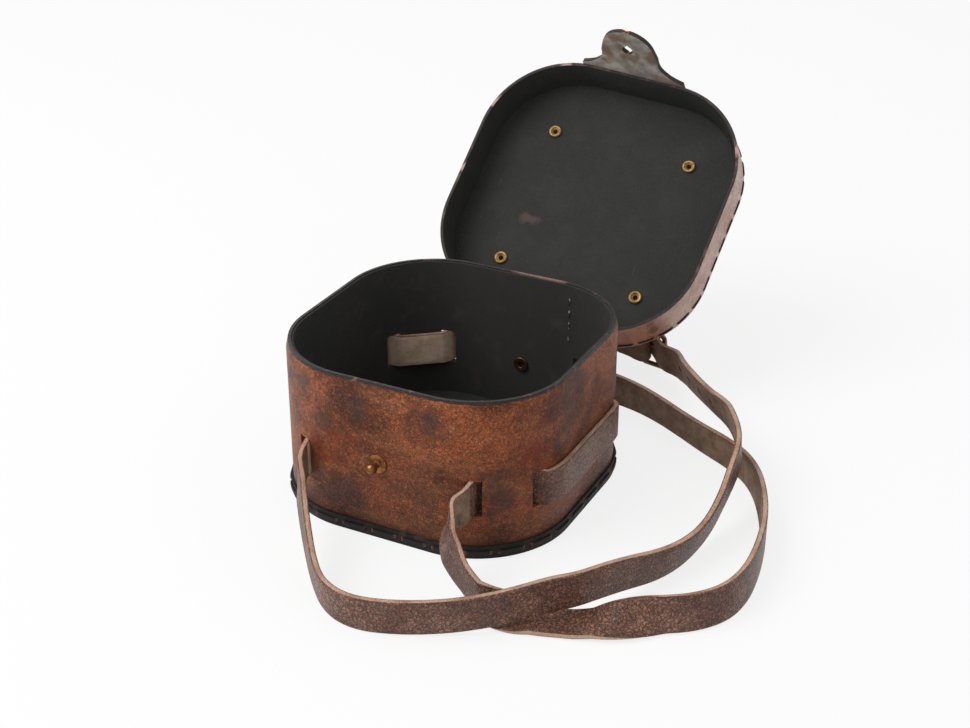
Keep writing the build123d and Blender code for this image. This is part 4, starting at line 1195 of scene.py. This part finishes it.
low_y, low_z, rivet_z = 0.0635, 0.0165, 0.037
skirt_y, skirt_low, skirt_high = 0.0658, 0.05695, 0.0713
work = bmesh.new()
work.loops.layers.uv.new("plan")
sheet, flat_plan = [], {}
for column in range(flap_columns):
    x = -flap_half + 2 * flap_half * column / (flap_columns - 1)
    corners = [Vector((x, low_y, low_z)), Vector((x, low_y, rivet_z)),
        hinge_foot + hinge_way * (x / hinge_way.x), laid_open @ Vector((x, skirt_y, skirt_low)),
        laid_open @ Vector((x, skirt_y, skirt_high))]
    sheet.append([work.verts.new(p) for p in eased_line(corners, flap_rows)])
    for row, vert in enumerate(sheet[-1]):
        flat_plan[vert] = (vert.co.x, row * flap_step)
for left_line, right_line in zip(sheet, sheet[1:]):
    for row in range(flap_rows - 1):
        work.faces.new((left_line[row], right_line[row], right_line[row + 1], left_line[row + 1]))


def thickened(work, name, thickness, flat_plan):
    """A sheet given its flat plan, its thickness and eased edges, as one plain mesh."""
    plan = work.loops.layers.uv["plan"]
    for face in work.faces:
        face.smooth = True
        for loop in face.loops:
            loop[plan].uv = flat_plan[loop.vert]
    sheet = linked(name, mesh_of(work, name))
    wall = sheet.modifiers.new("wall", "SOLIDIFY")
    wall.thickness, wall.offset, wall.use_even_offset = thickness, 0.0, True
    eased(sheet, 0.0004, 50)
    return cleaned(as_mesh(sheet), merge=0.0)


flap_mesh = thickened(work, "hinge_flap", flap_thick, flat_plan)
flap_hide = black_hide("flap_hide", (36, 31, 31), (88, 66, 58), source="UV")
flap = joined(flap_mesh, None, "case_leather", flap_hide,
    stands_for=("hinge_leaf_case", "hinge_leaf_lid"))
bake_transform(flap)
stitch_places = laid_open @ standing(Vector((0, 66.8, 64.65)) * MM, (1, 0, 0), (0, 1, 0))
hinge_sizes = {"Columns": 10, "Rows": 2, "Pitch": 0.0052, "Spacing": 0.0102, "Seed": 5}
hinge_sizes["Material"] = linen
hinge_thread = baked("hinge_thread", stitch_rule, hinge_sizes, place=stitch_places)
joined(hinge_thread, "lid", "thread", stands_for=("hinge_stitches",))

# ---------- closure tongue ----------
# A shaped tongue of hide is sewn to the front of the lid and buttons over the stud. Its root
# and its tip are one piece, which bends where it leaves the skirt.
tongue_x, tongue_y, tongue_z = -2.2, -68.8, 53.55
root_half, tongue_long, tongue_thick = 26.6, 30.9, 2.2 * MM
root_end, waist_at, waist_half, tip_at, tip_half = 0.75, 14.6, 14.6, 21.5, 12.8
tip_long = tongue_long - tip_at
tip_radius = (tip_half**2 + tip_long**2) / (2 * tip_long)


def tongue_half(s):
    """Half the tongue's width at a distance from its bend, in millimetres."""
    if s <= root_end:
        return root_half
    if s <= waist_at:
        left = 1 - (s - root_end) / (waist_at - root_end)
        return waist_half + (root_half - waist_half) * left**3.2
    if s <= tip_at:
        return waist_half - (waist_half - tip_half) * (s - waist_at) / (tip_at - waist_at)
    return sqrt(max(tip_radius**2 - (s - (tongue_long - tip_radius)) ** 2, 0.0))


marks = [-14.65, -14.3, -12, -9, -6, -3, 0, root_end]
marks += [root_end + (waist_at - root_end) * k / 9 for k in range(1, 10)] + [16.5, 18.5, 20, tip_at]
marks += [tip_at + tip_long * sin(pi / 2 * k / 9) for k in range(1, 9)]
side_line = [(tongue_half(s) - (0.4 if s < -14.4 else 0), s) for s in marks]
outline = side_line + [(0, tongue_long)] + [(-x, s) for x, s in reversed(side_line)]
work = bmesh.new()


def edge_loop(points):
    """A closed loop of edges through points in the tongue's flat plan."""
    verts = [work.verts.new((x * MM, s * MM, 0)) for x, s in points]
    return [work.edges.new((a, b)) for a, b in zip(verts, verts[1:] + verts[:1])]


round_hole = np.linspace(0, 2 * pi, 20, endpoint=False)
hole = [(2.6 * cos(a) * (1 + 0.12 * (cos(a) < 0)), 18.2 + 2.75 * sin(a)) for a in round_hole]
loops = edge_loop(outline) + edge_loop(hole)
bmesh.ops.triangle_fill(work, edges=loops, use_beauty=True, use_dissolve=False)
long_cuts, cross_cuts = np.arange(-12.0, 30.0, 2.4), np.arange(-24.0, 25.0, 4.0)
for way, cuts in (((0, 1, 0), long_cuts), ((1, 0, 0), cross_cuts)):
    for mark in cuts:
        everything = work.verts[:] + work.edges[:] + work.faces[:]
        place = Vector(way) * mark * MM
        bmesh.ops.bisect_plane(work, geom=everything, plane_co=place, plane_no=way)
work.loops.layers.uv.new("plan")
flat_plan = {vert: vert.co.xy for vert in work.verts}
rest = radians(10)
for vert in work.verts:
    x, s = vert.co.x / MM, vert.co.y / MM
    ahead = max(s, 0.0)
    turn = rest * min(1.0, ahead / 5.0)
    cup = -0.0028 * x * x * min(1.0, ahead / 12.0)
    away = 1.1 - ahead * sin(turn) * 0.96 + cup * 0.5
    vert.co = Vector((tongue_x + x, tongue_y + away, tongue_z - s * cos(turn * 0.9))) * MM
tongue_mesh = thickened(work, "tongue", tongue_thick, flat_plan)
tongue_mesh.transform(laid_open)

tongue_hide, shader, where = start_material("tongue_hide", "UV")
relief, colour = dyed_hide(where)
finish(shader, colour, hazy(where, 60.0, 0.3, 0.28), relief, 0.0003, 0.24)

tongue_flesh, shader, where = start_material("tongue_flesh", "UV")
fibres = cloud(turned_to(where, scale=(1, 0.3, 1)), 1300.0, 4.0, 0.7)
greys = rise(cloud(where, 90.0, 4.0, 0.6), 0.38, 0.66)
colour = mix(greys, (146, 139, 132), (200, 192, 184))
colour = mix(times(fibres, 0.25), colour, (86, 78, 72))
colour = spots(where, colour, 0.62, (124, 90, 56),
    (((-12, 11.5, 0), (5, 9, 9)), ((1, 13.5, 0), (7, 5, 9)), ((-4, 19.5, 0), (3, 4, 9)),
    ((12, 15.5, 0), (4, 6, 9)), ((19, 1.5, 0), (10, 4, 9)), ((-5, 26.0, 0), (8, 4, 9))))
finish(shader, colour, 0.62, fibres, 0.0001, 0.3)
tongue_edge = black_hide("tongue_edge", (54, 46, 43), (96, 76, 66), 1100.0, source="UV")
for face in tongue_mesh.polygons:
    closed_normal = shut.to_3x3() @ face.normal
    face.material_index = 0 if closed_normal.y > 0.35 else (1 if closed_normal.y < -0.35 else 2)
tongue = joined(tongue_mesh, None, "tongue_leather", tongue_flesh, tongue_hide, tongue_edge,
    stands_for=("tongue_base", "closure_tongue"))
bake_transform(tongue)
tongue_sizes = {"Columns": 9, "Rows": 2, "Pitch": 0.00572, "Spacing": 0.009, "Seed": 7}
tongue_sizes["Material"] = linen
sewn_at = Vector((tongue_x, tongue_y, tongue_z + 8.5)) * MM
sewn_place = laid_open @ standing(sewn_at, (1, 0, 0), (0, -1, 0))
tongue_thread = baked("tongue_thread", stitch_rule, tongue_sizes, place=sewn_place)
joined(tongue_thread, "lid", "thread", stands_for=("tongue_stitches",))
